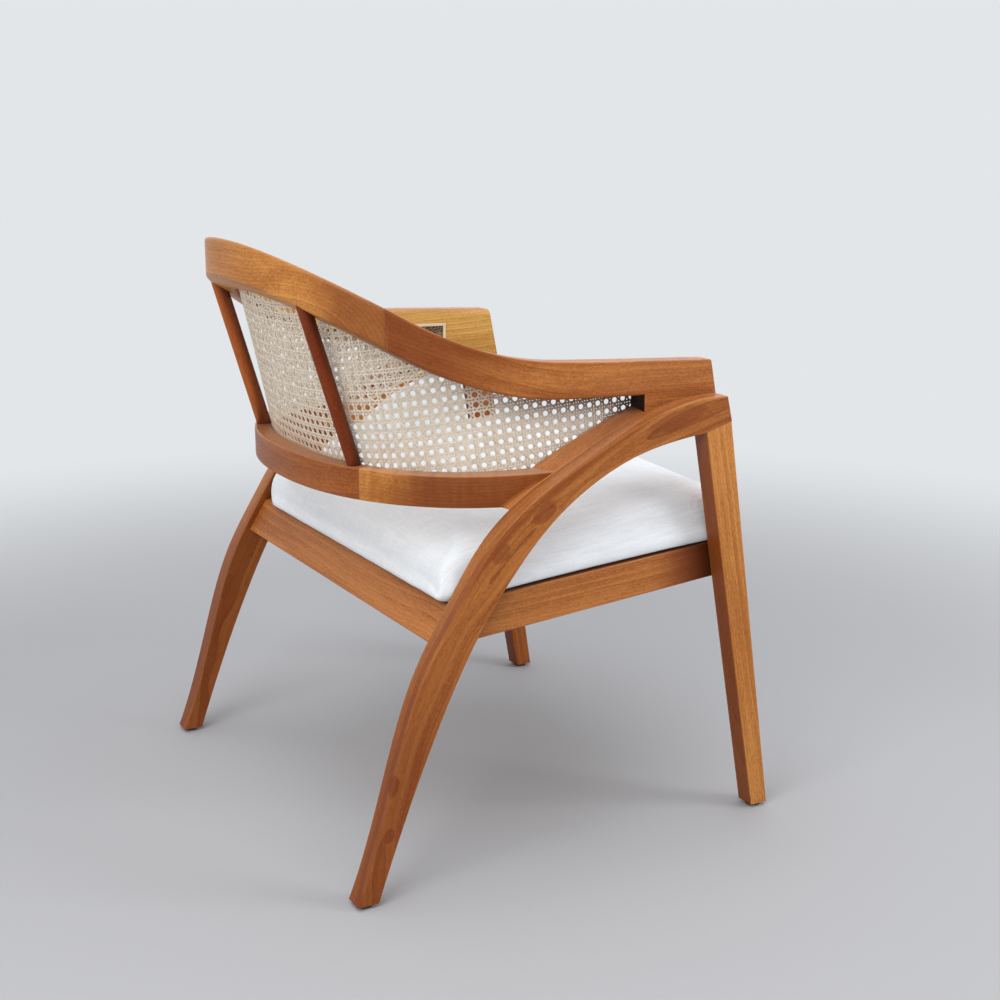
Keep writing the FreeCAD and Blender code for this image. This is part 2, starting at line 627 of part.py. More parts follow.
# Dowels across each joint, +X side
across = Vector(1, 0, 0)
crest_middle = crest_joint + Vector(crest_along.y, -crest_along.x, 0) * (ARM_THICK / 2 + 1)
crest_z = (bend_height(top_run, crest_middle.y) + bend_height(low_run, crest_middle.y)) / 2
crest_slant = Vector(crest_along.x, crest_along.y, CREST_REAR_SLOPE * crest_along.y)
crest_dowels = [dowel(Vector(crest_middle.x, crest_middle.y, crest_z + rise), crest_slant)
                for rise in CREST_DOWEL_RISE]
lower_middle = lower_joint + Vector(lower_along.y, -lower_along.x, 0) * 13
lower_dowels = []
for rise in LOWER_DOWEL_RISE:
    peg_middle = lower_middle + Vector(0, 0, LOWER_Z[0] + rise)
    lower_dowels.append(dowel(peg_middle, lower_along, LOWER_DOWEL_LENGTH))
joint_start = Vector(LEG_MIDDLE, FRONT_EDGE[-1][0], FRONT_EDGE[-1][1])
joint_end = Vector(LEG_MIDDLE, LEG_JOINT_FRONT[0], LEG_JOINT_FRONT[1])
leg_axis = joint_start + (joint_end - joint_start) * 0.5 - Vector(LEG_MIDDLE, front_foot_y, GLIDE_HEIGHT)
leg_dowels = [dowel(joint_start + (joint_end - joint_start) * part, leg_axis) for part in LEG_DOWEL_SHARE]
arm_dowels = [dowel(Vector(CREST_HALF, y, z), across) for y, z in ARM_DOWELS]
cheek_dowels = [dowel(Vector(CREST_HALF, y, z), across) for y, z in CHEEK_DOWELS]
rear_dowels = [dowel(Vector(LEG_INNER, y, z), across) for y, z in REAR_RAIL_DOWELS]
front_dowels = [dowel(Vector(LEG_INNER, y, z), across) for y, z in FRONT_RAIL_DOWELS]
rail_x = SIDE_RAIL_OUTER - SIDE_RAIL_THICK / 2
lengthwise = Vector(0, 1, 0)
side_front_dowel = dowel(Vector(rail_x, *SIDE_RAIL_DOWEL_FRONT), lengthwise, SIDE_RAIL_DOWEL_LENGTH)
side_rear_dowel = dowel(Vector(rail_x, *SIDE_RAIL_DOWEL_REAR), lengthwise, SIDE_RAIL_DOWEL_LENGTH)


def bored(shape, pegs):
    return shape.cut(Part.makeCompound(pegs))


def both(shapes):
    """The +X pieces and their mirror images as one group of separate solids."""
    return Part.makeCompound(shapes + [mirrored(shape) for shape in shapes])


crest_pegs = crest_dowels + [tenon]
crest_centre = bored(crest_centre, crest_pegs + [mirrored(peg) for peg in crest_pegs])
lower_pegs = lower_dowels + [tenon]
lower_centre = bored(lower_centre, lower_pegs + [mirrored(peg) for peg in lower_pegs])
rear_pegs = rear_dowels + [side_rear_dowel]
rear_rail = bored(rear_rail, rear_pegs + [mirrored(peg) for peg in rear_pegs])
front_pegs = front_dowels + [side_front_dowel]
front_rail = bored(front_rail, front_pegs + [mirrored(peg) for peg in front_pegs])
board = bored(board, screws + [mirrored(screw) for screw in screws])
sided = {
    "rear_leg": bored(rear_leg, leg_dowels + arm_dowels + cheek_dowels + rear_dowels + [glides[0]]),
    "front_leg": bored(front_leg, leg_dowels + front_dowels + [glides[1]]),
    "arm": bored(arm, crest_dowels + arm_dowels),
    "cheek": bored(cheek, cheek_dowels),
    "lower_rail": bored(lower_side, lower_dowels),
    "back_slat": slat,
    "seat_rail": bored(side_rail, [side_front_dowel, side_rear_dowel]),
    "cane_spline_front": spline_front,
    "corner_block_front": bored(blocks["front"], [screws[0]]),
    "corner_block_rear": bored(blocks["rear"], [screws[1]]),
}
single = {
    "crest_centre": crest_centre,
    "lower_rail_centre": lower_centre,
    "seat_rail_front": front_rail,
    "seat_rail_rear": rear_rail,
    "seat_board": board,
    "seat_pad": pad,
    "cane_panel": cane,
    "cane_spline_upper": spline_upper,
    "cane_spline_lower": spline_lower,
    "foot_glides": both(glides),
    "crest_dowels": both(crest_dowels),
    "lower_rail_dowels": both(lower_dowels),
    "leg_dowels": both(leg_dowels),
    "arm_dowels": both(arm_dowels),
    "cheek_dowels": both(cheek_dowels),
    "seat_rail_dowels": both(rear_dowels + front_dowels + [side_front_dowel, side_rear_dowel]),
    "seat_screws": both(screws),
}
for node, shape in sided.items():
    save(shape, node + "_left")
    save(mirrored(shape), node + "_right")
for node, shape in single.items():
    save(shape, node)
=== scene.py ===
import math

import bpy
import numpy as np
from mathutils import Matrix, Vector, noise


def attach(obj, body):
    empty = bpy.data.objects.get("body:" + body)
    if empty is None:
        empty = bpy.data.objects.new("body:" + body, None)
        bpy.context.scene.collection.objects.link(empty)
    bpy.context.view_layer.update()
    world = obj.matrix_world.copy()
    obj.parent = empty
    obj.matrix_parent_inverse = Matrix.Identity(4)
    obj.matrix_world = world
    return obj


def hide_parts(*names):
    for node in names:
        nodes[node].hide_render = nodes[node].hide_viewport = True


# The looks of a wooden armchair with a caned back and an upholstered seat.
# Metres. The chair faces -Y, +Z is up, and +X is the sitter's left.
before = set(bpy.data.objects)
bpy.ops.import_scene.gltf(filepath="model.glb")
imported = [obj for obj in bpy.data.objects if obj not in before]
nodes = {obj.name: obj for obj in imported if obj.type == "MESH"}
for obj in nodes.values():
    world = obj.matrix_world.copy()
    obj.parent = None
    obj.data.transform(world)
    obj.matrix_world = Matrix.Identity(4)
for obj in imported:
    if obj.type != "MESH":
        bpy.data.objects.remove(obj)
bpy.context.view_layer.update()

# Camera
CAMERA_PLACE = (-1.9427, 1.0103, 0.952)
CAMERA_FORWARD = (0.8450, -0.4767, -0.2424)
CAMERA_LENS = 57.0
SENSOR_WIDTH = 36.0

# Cane sheet, as in the solids. A plan is half width, depth, centre Y and the power of its rounded curve
CANE_CLEAR = 0.002
HIGH_PLAN = (0.279, 0.406, -0.1215, 2.325)
LOW_PLAN = (0.279, 0.2365, -0.0105, 2.5)
CANE_FRONT_Y = -0.138
CANE_LAP = 0.018
CANE_FOOT_Z = 0.510
CANE_FRONT_LOW = 0.560

# Lower edge of the crest and arms in side view: a point (Y, Z) and slope of each run, and the bend between
CREST_LOW_REAR = (0.3225, 0.7385)
CREST_SLOPE = 0.605
ARM_LOW_FRONT = (-0.2233, 0.5915)
ARM_LOW_SLOPE = 0.03
CREST_BEND = 0.385

# Cane weave: pairs of strands both ways, and single diagonals that cross between the pairs
CANE_PITCH = 0.0126
CANE_PAIR = 0.0037
CANE_STRAND = 0.0024
CANE_STRAND_THICK = 0.00055
CANE_LIFT = 0.00028
CANE_DIAGONAL_LIFT = 0.00055
DIAGONAL_STEPS = 6
STRAND_PROFILE = ((-0.5, -0.25), (-0.22, 0.5), (0.22, 0.5), (0.5, -0.25))
STRAND_SIDE_STEP = 0.0005
STRAND_LEAST_END = 0.0002
STRAND_LEAST_RUN = 0.003
STRAND_END_HALVINGS = 12
STRAND_NUMBER_STEP = 0.37

# Seat rails' top plane, and the cushion: it starts a little small, swells up to a cap, and is held low down
SEAT_Z = 0.3687
SEAT_SLOPE = 0.0697
CUSHION_VOXEL = 0.006
CUSHION_SHRINK = 0.002
CUSHION_CAP = 0.006
CUSHION_HELD = 0.0135
CUSHION_FREE = 0.02
CUSHION_SIDE = 0.3096
CUSHION_CLEAR = 0.0004
CUSHION_STEPS = 20
COVER_CLOTH = {
    "quality": 5,
    "mass": 0.3,
    "tension_stiffness": 20,
    "compression_stiffness": 20,
    "shear_stiffness": 8,
    "bending_stiffness": 0.6,
    "use_pressure": True,
    "uniform_pressure_force": 4,
}

# Rear left corner: its side and rear lines and least radius in plan, the height over the rails where the
# radius is least, and how fast it grows away from there
CORNER_SIDE = 0.308
CORNER_REAR = 0.1714
CORNER_RADIUS = 0.074
CORNER_WAIST = 0.024
CORNER_DRAW_IN = 28.0

# Rear right corner, drawn out to its leg: where the pull starts, how far it builds up, its size and height
CRISP_START = (-0.250, 0.110)
CRISP_SPAN = 0.060
CRISP_PUSH = 0.008
CRISP_HEIGHT = 0.05

# Pulls in the cover: the height where they start, how they fade upward, and the sizes and noise cells of
# broad and fine ones, along the edge, up and between places. Faces that look up more than a limit have none
PULL_FOOT = 0.004
PULL_FADE = 0.022
PULL_UPWARD = 0.9
BROAD_PULL = 0.0004
BROAD_PULL_CELLS = (38.0, 9.0, 2.0)
FINE_PULL = 0.0002
FINE_PULL_CELLS = (95.0, 16.0, 2.0)
FINE_PULL_SHIFT = 7.0

# Linen: its yarns and slubs, and ripples of the cover beside each front leg, which fade out with distance
YARN_PITCH = 0.0022
LONG_SLUB_CELLS = (22.0, 800.0, 800.0)
CROSS_SLUB_CELLS = (800.0, 22.0, 60.0)
SLUB_RELIEF = 0.8
RIPPLE_PLACE = (0.308, -0.224, 0.440)
RIPPLE_PITCH = 0.0065
RIPPLE_REACH = (0.040, 0.012)
RIPPLE_RELIEF = 1.4
LINEN_TONES = ((0.76, 0.785, 0.81), (0.87, 0.90, 0.925))
LINEN_GAPS = (0.60, 0.60, 0.60)
GAP_SHARE = 0.16
LINEN_CLOUDS = (0.74, 0.74, 0.745)
CLOUD_SHARE = 0.10
LINEN_SHEEN = 0.06
LINEN_ROUGH = 0.88

# Wood colours, in pairs of a light and a dark tone
TEAK = ((0.53, 0.195, 0.048), (0.31, 0.088, 0.016))
TEAK_LEG = ((0.46, 0.160, 0.034), (0.27, 0.070, 0.010))
TEAK_RAIL = ((0.40, 0.122, 0.026), (0.235, 0.055, 0.009))
TEAK_RED = ((0.47, 0.120, 0.020), (0.28, 0.055, 0.008))
TEAK_DARK = ((0.22, 0.037, 0.005), (0.11, 0.014, 0.001))
TEAK_WARM = ((0.61, 0.250, 0.060), (0.40, 0.130, 0.023))
TEAK_CREST = ((0.66, 0.285, 0.072), (0.43, 0.148, 0.028))
# Golden tone of the left arm's inner faces: the wood's tone with painted light on it
TEAK_GOLD = ((0.63, 0.345, 0.085), (0.42, 0.186, 0.033))
# Painted sheen on upward faces, as a light and a dark tone
TEAK_SHEEN = ((0.62, 0.34, 0.19), (0.42, 0.20, 0.10))
PALE_WOOD = ((0.70, 0.54, 0.35), (0.55, 0.39, 0.23))

# Single wood colours: pores, late wood and painted shade in corners; darker heartwood, also used as painted
# shade and shadow; and painted shade on a shut-in face that no light reaches
TEAK_DEEP = (0.070, 0.014, 0.004)
TEAK_DARKER_AND_SHADE = (0.19, 0.036, 0.006)
TEAK_NOOK_SHADE = (0.018, 0.006, 0.003)
PALE_DEEP = (0.36, 0.24, 0.13)

# Wood figure: noise cells per metre, along the grain and both ways across it
BROAD_CELLS = (3.5, 22.0, 22.0)
WANDER_CELLS = (3.6, 5.0, 5.0)
STREAK_CELLS = (5.0, 150.0, 150.0)
FIBRE_CELLS = (12.0, 480.0, 480.0)
FLECK_CELLS = (260.0, 680.0, 680.0)
PORE_CELLS = (90.0, 620.0, 620.0)
CURL_CELLS = (95.0, 9.0, 9.0)
RAGGED_CELLS = (40.0, 90.0, 90.0)
RING_PITCH = 0.0048
RING_DRIFT = 0.034

# Shares in the wood's tone, the tone's range about its usual value, and the shares of what lies over it
BROAD_SHARE = 0.9
STREAK_SHARE = 0.3
FIBRE_SHARE = 0.45
FLECK_SHARE = 0.55
TONE_RANGE = 0.27
LATE_SHARE = 0.24
PORE_SHARE = 0.30
EDGE_WEAR_AND_HIGHLIGHT_SHARE = 0.4
CORNER_SHADE_SHARE = 0.85

# Wood surface: shine, and roughness with what fibres, pores and worn edges add to it
WOOD_SHINE = 0.2
WOOD_ROUGH = 0.32
FIBRE_ROUGH = 0.16
PORE_ROUGH = 0.15
EDGE_ROUGH = -0.08

# Worn edges, painted paler also as a highlight: how far in they are searched, what is found where they start
# and are full, and how far from a piece's ends they are gone and are full
EDGE_REACH = 0.005
EDGE_FOUND = (0.14, 0.45)
EDGE_GONE = 0.008
EDGE_FULL = 0.03

# Painted shade in corners: how far a corner is searched, and how closed in it is where the darkening starts
# and is full
USUAL_CORNER_SHADE = (0.03, 0.40, 0.75)
RAIL_CORNER_SHADE = (0.07, 0.10, 0.40)
SLAT_CORNER_SHADE = (0.07, 0.15, 0.45)

# Y of the arms' rear faces that are shut in and painted near black as shade, and how far behind it the dark
# starts and is full
ARM_NOOK = -0.121
NOOK_NEAR = (0.006, 0.001)

# Where something starts and is full, by a face's direction or by a noise
UPWARD = (0.25, 0.80)
BACKWARD = (0.5, 0.8)
FLANKS = (0.55, 0.85)
INWARD = (-0.35, -0.65)
PORE_FOUND = (0.54, 0.70)
MARK_EDGE = (1.5, 1.25)

# Knots and flames on the right rear leg's outer face: place along and across the grain, half length,
# half width, share
MARK_FACE = -0.0145
MARK_DEPTH = 0.012
LEG_MARKS = (
    (-0.266, 0.012, 0.018, 0.015, 0.85),
    (-0.328, -0.003, 0.011, 0.008, 0.65),
    (0.044, 0.014, 0.016, 0.012, 0.50),
    (0.116, 0.009, 0.022, 0.012, 0.55),
    (0.335, 0.008, 0.055, 0.012, 0.50),
)

# Cane colours: noise cells along, across and between strands, and the shares of what makes the tone
CANE_TONES = ((0.66, 0.53, 0.385), (0.92, 0.825, 0.70))
CANE_FIBRE = (0.42, 0.29, 0.17)
STRETCH_CELLS = (18.0, 300.0, 5.0)
CANE_FIBRE_CELLS = (60.0, 5000.0, 5.0)
STRETCH_SHARE = 0.75
STRAND_SHARE = 0.45
CANE_FIBRE_SHARE = 0.28

# Dark rims of strands painted as shade, in shares of their width, and painted shade under the arms, at the
# sides
# and in front: where each starts and is full, and its shares there
CANE_RIM_SHADE = (0.27, 0.17, 0.10)
RIM_WIDTHS = (0.26, 0.48)
RIM_Y = (0.22, 0.05)
RIM_SHARES = (0.58, 0.90)
CANE_SHADE = (0.13, 0.065, 0.035)
ARM_SHADE_CLIMB = (0.40, 0.95)
ARM_SHADE_Y = (0.12, -0.04)
ARM_SHADE_SHARE = 0.88
SIDE_SHADE_Y = (0.16, 0.02)
SIDE_SHADE_SHARES = (0.0, 0.10)
FRONT_SHADE_Y = (-0.06, -0.125)
FRONT_SHADE_SHARES = (0.0, 0.85)

# Other colours
REED_TONES = ((0.60, 0.44, 0.26), (0.76, 0.62, 0.43))
REED_FIBRE = (0.42, 0.28, 0.15)
PLASTIC_TONES = ((0.022, 0.020, 0.018), (0.045, 0.041, 0.037))
ZINC_TONES = ((0.48, 0.48, 0.50), (0.66, 0.66, 0.67))

# Floor, light and background. A lamp is name, place, target, size, power and tint
BACKGROUND = (0.765, 0.79, 0.815)
FLOOR_TONE = (0.43, 0.43, 0.445)
FLOOR_RINGS = (0.5, 1.0, 2.0, 4.0, 9.0)
FLOOR_SPOKES = 96
FLOOR_FADE = (0.9, 2.4)
LAMPS = (
    ("overhead", (-0.3, 0.2, 3.2), (0.0, 0.0, 0.4), 3.6, 68.0, (0.99, 0.99, 1.0)),
    ("key", (-1.7, 2.7, 2.2), (0.0, 0.0, 0.45), 2.0, 56.0, (1.0, 0.99, 0.975)),
    ("fill", (-2.5, -2.6, 1.7), (0.0, 0.0, 0.45), 1.4, 54.0, (0.98, 0.99, 1.0)),
)
EVEN_TINT = (0.93, 0.965, 1.0)
EVEN_STRENGTH = 0.44
REFLECTED_WAY = (0.75, -0.40, 0.53)
REFLECTED_FACING = (0.40, 0.85)
REFLECTED_STRENGTH = (0.25, 1.7)


class Look:
    """A procedural material, built node by node."""

    def __init__(self, name):
        self.material = bpy.data.materials.new(name)
        self.material.use_nodes = True
        self.tree = self.material.node_tree
        self.shader = self.tree.nodes["Principled BSDF"]

    def put(self, socket, value):
        if isinstance(value, bpy.types.NodeSocket):
            self.tree.links.new(value, socket)
        else:
            socket.default_value = value

    def add(self, kind, inputs=(), **settings):
        node = self.tree.nodes.new(kind)
        for name, value in settings.items():
            setattr(node, name, value)
        for socket, value in inputs:
            self.put(node.inputs[socket], value)
        return node

    def math(self, operation, *values):
        return self.add("ShaderNodeMath", enumerate(values), operation=operation).outputs[0]

    def times(self, first, second):
        return self.math("MULTIPLY", first, second)

    def minus(self, first, second):
        return self.math("SUBTRACT", first, second)

    def size(self, value):
        return self.math("ABSOLUTE", value)

    def times_plus(self, value, factor, extra):
        return self.math("MULTIPLY_ADD", value, factor, extra)

    def total(self, parts):
        """The sum of values, each times its share."""
        value, share = parts[0]
        result = self.times(value, share)
        for value, share in parts[1:]:
            result = self.times_plus(value, share, result)
        return result

    def hypotenuse(self, first, second):
        return self.math("SQRT", self.math("ADD", self.times(first, first), self.times(second, second)))

    def vector(self, operation, *values):
        return self.add("ShaderNodeVectorMath", enumerate(values), operation=operation)

    def dot(self, first, second):
        return self.vector("DOT_PRODUCT", first, second).outputs["Value"]

    def scaled(self, place, scale):
        return self.vector("MULTIPLY", place, scale).outputs[0]

    def shifted(self, place, shift):
        return self.vector("ADD", place, shift).outputs[0]

    def length(self, place):
        return self.vector("LENGTH", place).outputs["Value"]

    def distance(self, first, second):
        return self.vector("DISTANCE", first, second).outputs["Value"]

    def split(self, place):
        return self.add("ShaderNodeSeparateXYZ", [(0, place)]).outputs

    def joined(self, *values):
        return self.add("ShaderNodeCombineXYZ", enumerate(values)).outputs[0]

    def place(self):
        return self.add("ShaderNodeTexCoord").outputs["Object"]

    def normal(self):
        return self.add("ShaderNodeNewGeometry").outputs["Normal"]

    def attribute(self, name, output):
        return self.add("ShaderNodeAttribute", attribute_name=name).outputs[output]

    def draw(self, number):
        """A steady value between 0 and 1 for each number."""
        return self.add("ShaderNodeTexWhiteNoise", [("W", number)], noise_dimensions="1D").outputs[0]

    def noise(self, place, cells, detail=2.0, rough=0.5):
        """Soft noise of so many cells per metre, the same each way or given for each axis."""
        if isinstance(cells, float):
            cells = (cells, cells, cells)
        scaled = self.scaled(place, cells)
        inputs = [("Vector", scaled), ("Scale", 1.0), ("Detail", detail), ("Roughness", rough)]
        return self.add("ShaderNodeTexNoise", inputs).outputs[0]

    def range(self, value, low, high, to_low=0.0, to_high=1.0):
        inputs = enumerate((value, low, high, to_low, to_high))
        return self.add("ShaderNodeMapRange", inputs, interpolation_type="SMOOTHSTEP").outputs[0]

    def blend(self, share, first, second):
        node = self.add("ShaderNodeMix", [(0, share)], data_type="RGBA")
        self.put(node.inputs[6], colour(first))
        self.put(node.inputs[7], colour(second))
        return node.outputs[2]

    def paint(self, base, tone, mask, share=1.0):
        """The base with a share of another tone over it where the mask is."""
        if share != 1.0:
            mask = self.times(mask, share)
        return self.blend(mask, base, tone)

    def hollow(self, distance, inside=False):
        """How closed in a point is, from none to all; inside asks it of the solid, near its edges."""
        inputs = [("Distance", distance)]
        node = self.add("ShaderNodeAmbientOcclusion", inputs, samples=8, inside=inside, only_local=inside)
        return self.minus(1.0, node.outputs["AO"])

    def rounded(self, radius):
        """The normal as if edges were rounded to a radius."""
        return self.add("ShaderNodeBevel", [("Radius", radius)], samples=6).outputs[0]

    def bump(self, height, distance, strength, soft=0.0):
        """Relief from a height, over edges that look rounded to a soft radius."""
        inputs = [("Height", height), ("Distance", distance), ("Strength", strength)]
        if soft:
            inputs.append(("Normal", self.rounded(soft)))
        self.put(self.shader.inputs["Normal"], self.add("ShaderNodeBump", inputs).outputs[0])

    def finish(self, base, rough):
        self.put(self.shader.inputs["Base Color"], colour(base))
        self.put(self.shader.inputs["Roughness"], rough)
        return self.material


def colour(value):
    """A colour with its alpha, or a socket as it is."""
    if isinstance(value, bpy.types.NodeSocket) or len(value) == 4:
        return value
    return (*value, 1.0)


# Pieces and their points
def new_piece(name, mesh):
    piece = bpy.data.objects.new(name, mesh)
    bpy.context.scene.collection.objects.link(piece)
    return piece


def read_points(piece, what):
    values = np.empty(len(piece.data.vertices) * 3)
    piece.data.vertices.foreach_get(what, values)
    return values.reshape(-1, 3)


def places(piece):
    return read_points(piece, "co")


def normals(piece):
    return read_points(piece, "normal")


def set_places(piece, values):
    piece.data.vertices.foreach_set("co", np.asarray(values, np.float32).ravel())
    piece.data.update()


# Wood
def straight(direction):
    """Grain along one direction: as nodes, and as a measure of points, along it and both ways across."""
    along = Vector(direction).normalized()
    side = along.cross(Vector((0, 0, 1))).normalized()
    axes = (along, side, side.cross(along))

    def build(look):
        point = look.place()
        return look.joined(*[look.dot(point, tuple(axis)) for axis in axes])

    def measure(points):
        return points @ np.array(axes).T

    return build, measure


def bowed(centre, radius):
    """Grain that follows an arc in side view, straight in front of its centre; centre is (y, z)."""

    def build(look):
        x, y, z = look.split(look.place())
        back = look.minus(y, centre[0])
        rise = look.minus(z, centre[1])
        behind = look.math("MAXIMUM", back, 0.0)
        turn = look.math("ARCTAN2", behind, look.times(rise, -1.0))
        along = look.times_plus(turn, radius, look.math("MINIMUM", back, 0.0))
        across = look.minus(look.hypotenuse(behind, rise), radius)
        return look.joined(along, across, x)

    def measure(points):
        back = points[:, 1] - centre[0]
        rise = points[:, 2] - centre[1]
        behind = np.maximum(back, 0.0)
        along = np.arctan2(behind, -rise) * radius + np.minimum(back, 0.0)
        return np.stack((along, np.hypot(behind, rise) - radius, points[:, 0]), 1)

    return build, measure


def growth_rings(look, local, place, pith, seed):
    """The dark late wood of each ring, and a tone of each ring's own."""
    _, across, through = look.split(local)
    reach = look.hypotenuse(look.minus(across, pith[0]), look.minus(through, pith[1]))
    reach = look.times_plus(look.noise(place, WANDER_CELLS), RING_DRIFT, reach)
    rings = look.math("DIVIDE", reach, RING_PITCH)
    late = look.math("POWER", look.math("FRACT", rings), 3.0)
    return late, look.draw(look.math("ADD", look.math("FLOOR", rings), seed))


def marked(look, base, local, place, marks):
    """The base with knots and flames, each a ragged oval."""
    ragged = look.noise(place, RAGGED_CELLS)
    for along, across, length, width, share in marks:
        gap = look.shifted(local, (-along, -across, -MARK_FACE))
        gap = look.scaled(gap, (1 / length, 1 / width, 1 / MARK_DEPTH))
        away = look.math("ADD", look.length(gap), ragged)
        base = look.paint(base, TEAK_DARKER_AND_SHADE, look.range(away, *MARK_EDGE), share)
    return base


def wood(node, grain, tones, pith, seed=0.0, deep=TEAK_DEEP, dusk=None, curl=0.0, figure=0.14, flank=0.0,
         bleach=0.28, soft=0.0, nook=None, inner=None, marks=(), grime=USUAL_CORNER_SHADE):
    """Sawn wood: growth rings round a pith line, broad tone, fibres and pores, worn edges with a painted
    highlight, painted corner shade.

    The pith is given across the grain from the piece's middle. Deep is the tone of pores, late wood and the
    painted shade in corners.
    Dusk is where along the piece a darker tone starts and is full, and its share; on the seat rails it is
    painted shadow. Curl is the strength of bands across the grain, and figure that of the rings' own tones.
    Flank is the share of painted shade on the front and rear faces, and the sheen share that of painted sheen
    on the upward ones.
    Soft is the radius that edges look rounded to in the relief and the painted sheen, and nook the Y of a
    rear face that is shut in and painted near black as shade. Inner holds the tones of the faces that look to
    the sitter's
    right: a golden wood tone with painted light on it.
    Marks are knots and flames: their place along and across, half length, half width and share.
    The last argument gives the painted shade in corners: how far a corner is searched, and how closed in it
    is where the darkening starts and is full.
    """
    build, measure = grain
    spread = measure(places(nodes[node]))
    middle = (spread.min(0) + spread.max(0)) / 2
    half = spread[:, 0].max() - middle[0]
    look = Look("wood_" + node)
    local = look.shifted(build(look), tuple(-middle))
    place = look.shifted(local, (seed, seed * 0.3, seed * 0.2))
    along = look.split(local)[0]
    leftward, backward, upward = look.split(look.normal())
    if soft:
        upward = look.split(look.rounded(soft))[2]

    fibre = look.noise(place, FIBRE_CELLS, detail=3.0, rough=0.6)
    pore = look.range(look.noise(place, PORE_CELLS, rough=0.7), *PORE_FOUND)
    late, ring_tone = growth_rings(look, local, place, pith, seed)
    parts = [
        (look.noise(place, STREAK_CELLS), STREAK_SHARE),
        (look.noise(place, BROAD_CELLS, detail=3.0), BROAD_SHARE),
        (fibre, FIBRE_SHARE),
        (look.noise(place, FLECK_CELLS, detail=1.0), FLECK_SHARE),
        (ring_tone, figure),
    ]
    if curl:
        parts.append((look.noise(place, CURL_CELLS, detail=1.0), curl))
    usual = sum(share for _, share in parts) / 2
    tone = look.range(look.total(parts), usual - TONE_RANGE, usual + TONE_RANGE)

    base = look.blend(tone, tones[1], tones[0])
    # A darker tone along the piece; at the seat rails' front ends it is painted shadow of the front legs
    if dusk:
        start, full, share = dusk
        base = look.paint(base, TEAK_DARKER_AND_SHADE, look.range(along, start, full), share)
    # Faces that look to the sitter's right take the inner tones: a golden wood tone with painted light on it
    if inner:
        inward = look.range(leftward, *INWARD)
        base = look.paint(base, look.blend(tone, inner[1], inner[0]), inward)
    # Painted shade: faces that look to the front or rear take a darker tone
    if flank:
        base = look.paint(base, TEAK_DARKER_AND_SHADE, look.range(look.size(backward), *FLANKS), flank)
    if marks:
        base = marked(look, base, local, place, marks)
    base = look.paint(base, deep, late, LATE_SHARE)
    base = look.paint(base, deep, pore, PORE_SHARE)
    # Painted sheen: upward faces, and the tops of edges made to look rounded, take a paler tone
    sheen_tone = look.blend(tone, TEAK_SHEEN[1], TEAK_SHEEN[0])
    base = look.paint(base, sheen_tone, look.range(upward, *UPWARD), bleach)
    # Worn edges with a painted highlight: edges take the light tone, but not near a piece's ends
    edge = look.range(look.hollow(EDGE_REACH, inside=True), *EDGE_FOUND)
    edge = look.times(edge, look.range(look.size(along), half - EDGE_GONE, half - EDGE_FULL))
    base = look.paint(base, tones[0], edge, EDGE_WEAR_AND_HIGHLIGHT_SHARE)
    # Painted shade: the more closed in a corner or recess is, the more of the deep tone it takes
    search, start, full = grime
    base = look.paint(base, deep, look.range(look.hollow(search), start, full), CORNER_SHADE_SHARE)
    # Painted shade: the shut-in rear faces at the arms' front ends are painted near black
    if nook:
        y = look.split(look.place())[1]
        beside = look.range(y, nook + NOOK_NEAR[0], nook + NOOK_NEAR[1])
        base = look.paint(base, TEAK_NOOK_SHADE, look.times(beside, look.range(backward, *BACKWARD)))

    height = look.times_plus(pore, -1.0, look.times(fibre, 0.5))
    look.bump(height, distance=0.00025, strength=0.35, soft=soft)
    look.shader.inputs["Specular IOR Level"].default_value = WOOD_SHINE
    rough = look.times_plus(fibre, FIBRE_ROUGH, WOOD_ROUGH)
    rough = look.times_plus(pore, PORE_ROUGH, rough)
    rough = look.times_plus(edge, EDGE_ROUGH, rough)
    return look.finish(base, rough)


LEG_GRAIN = bowed((-0.324, -0.0146), 0.599)
ARM_GRAIN = bowed((-0.022, 1.03), 0.385)
FRONT_LEG_GRAIN = straight((0.0, 0.1045, 0.55))
RAIL_GRAIN = straight((0.0, 1.0, -SEAT_SLOPE))
ACROSS_GRAIN = straight((1.0, 0.0, 0.0))
looks = {
    "crest_centre": wood("crest_centre", ACROSS_GRAIN, TEAK_CREST, (-0.047, -0.077), 1.3,
                         dusk=(-0.16, -0.21, 0.65), soft=0.008, bleach=0.6),
    "lower_rail_centre": wood("lower_rail_centre", ACROSS_GRAIN, TEAK_RAIL, (0.01, -0.05), 2.1),
    "seat_rail_front": wood("seat_rail_front", ACROSS_GRAIN, TEAK, (0.02, -0.05), 3.7),
    "seat_rail_rear": wood("seat_rail_rear", ACROSS_GRAIN, TEAK, (-0.02, -0.05), 4.9, bleach=0.0),
}
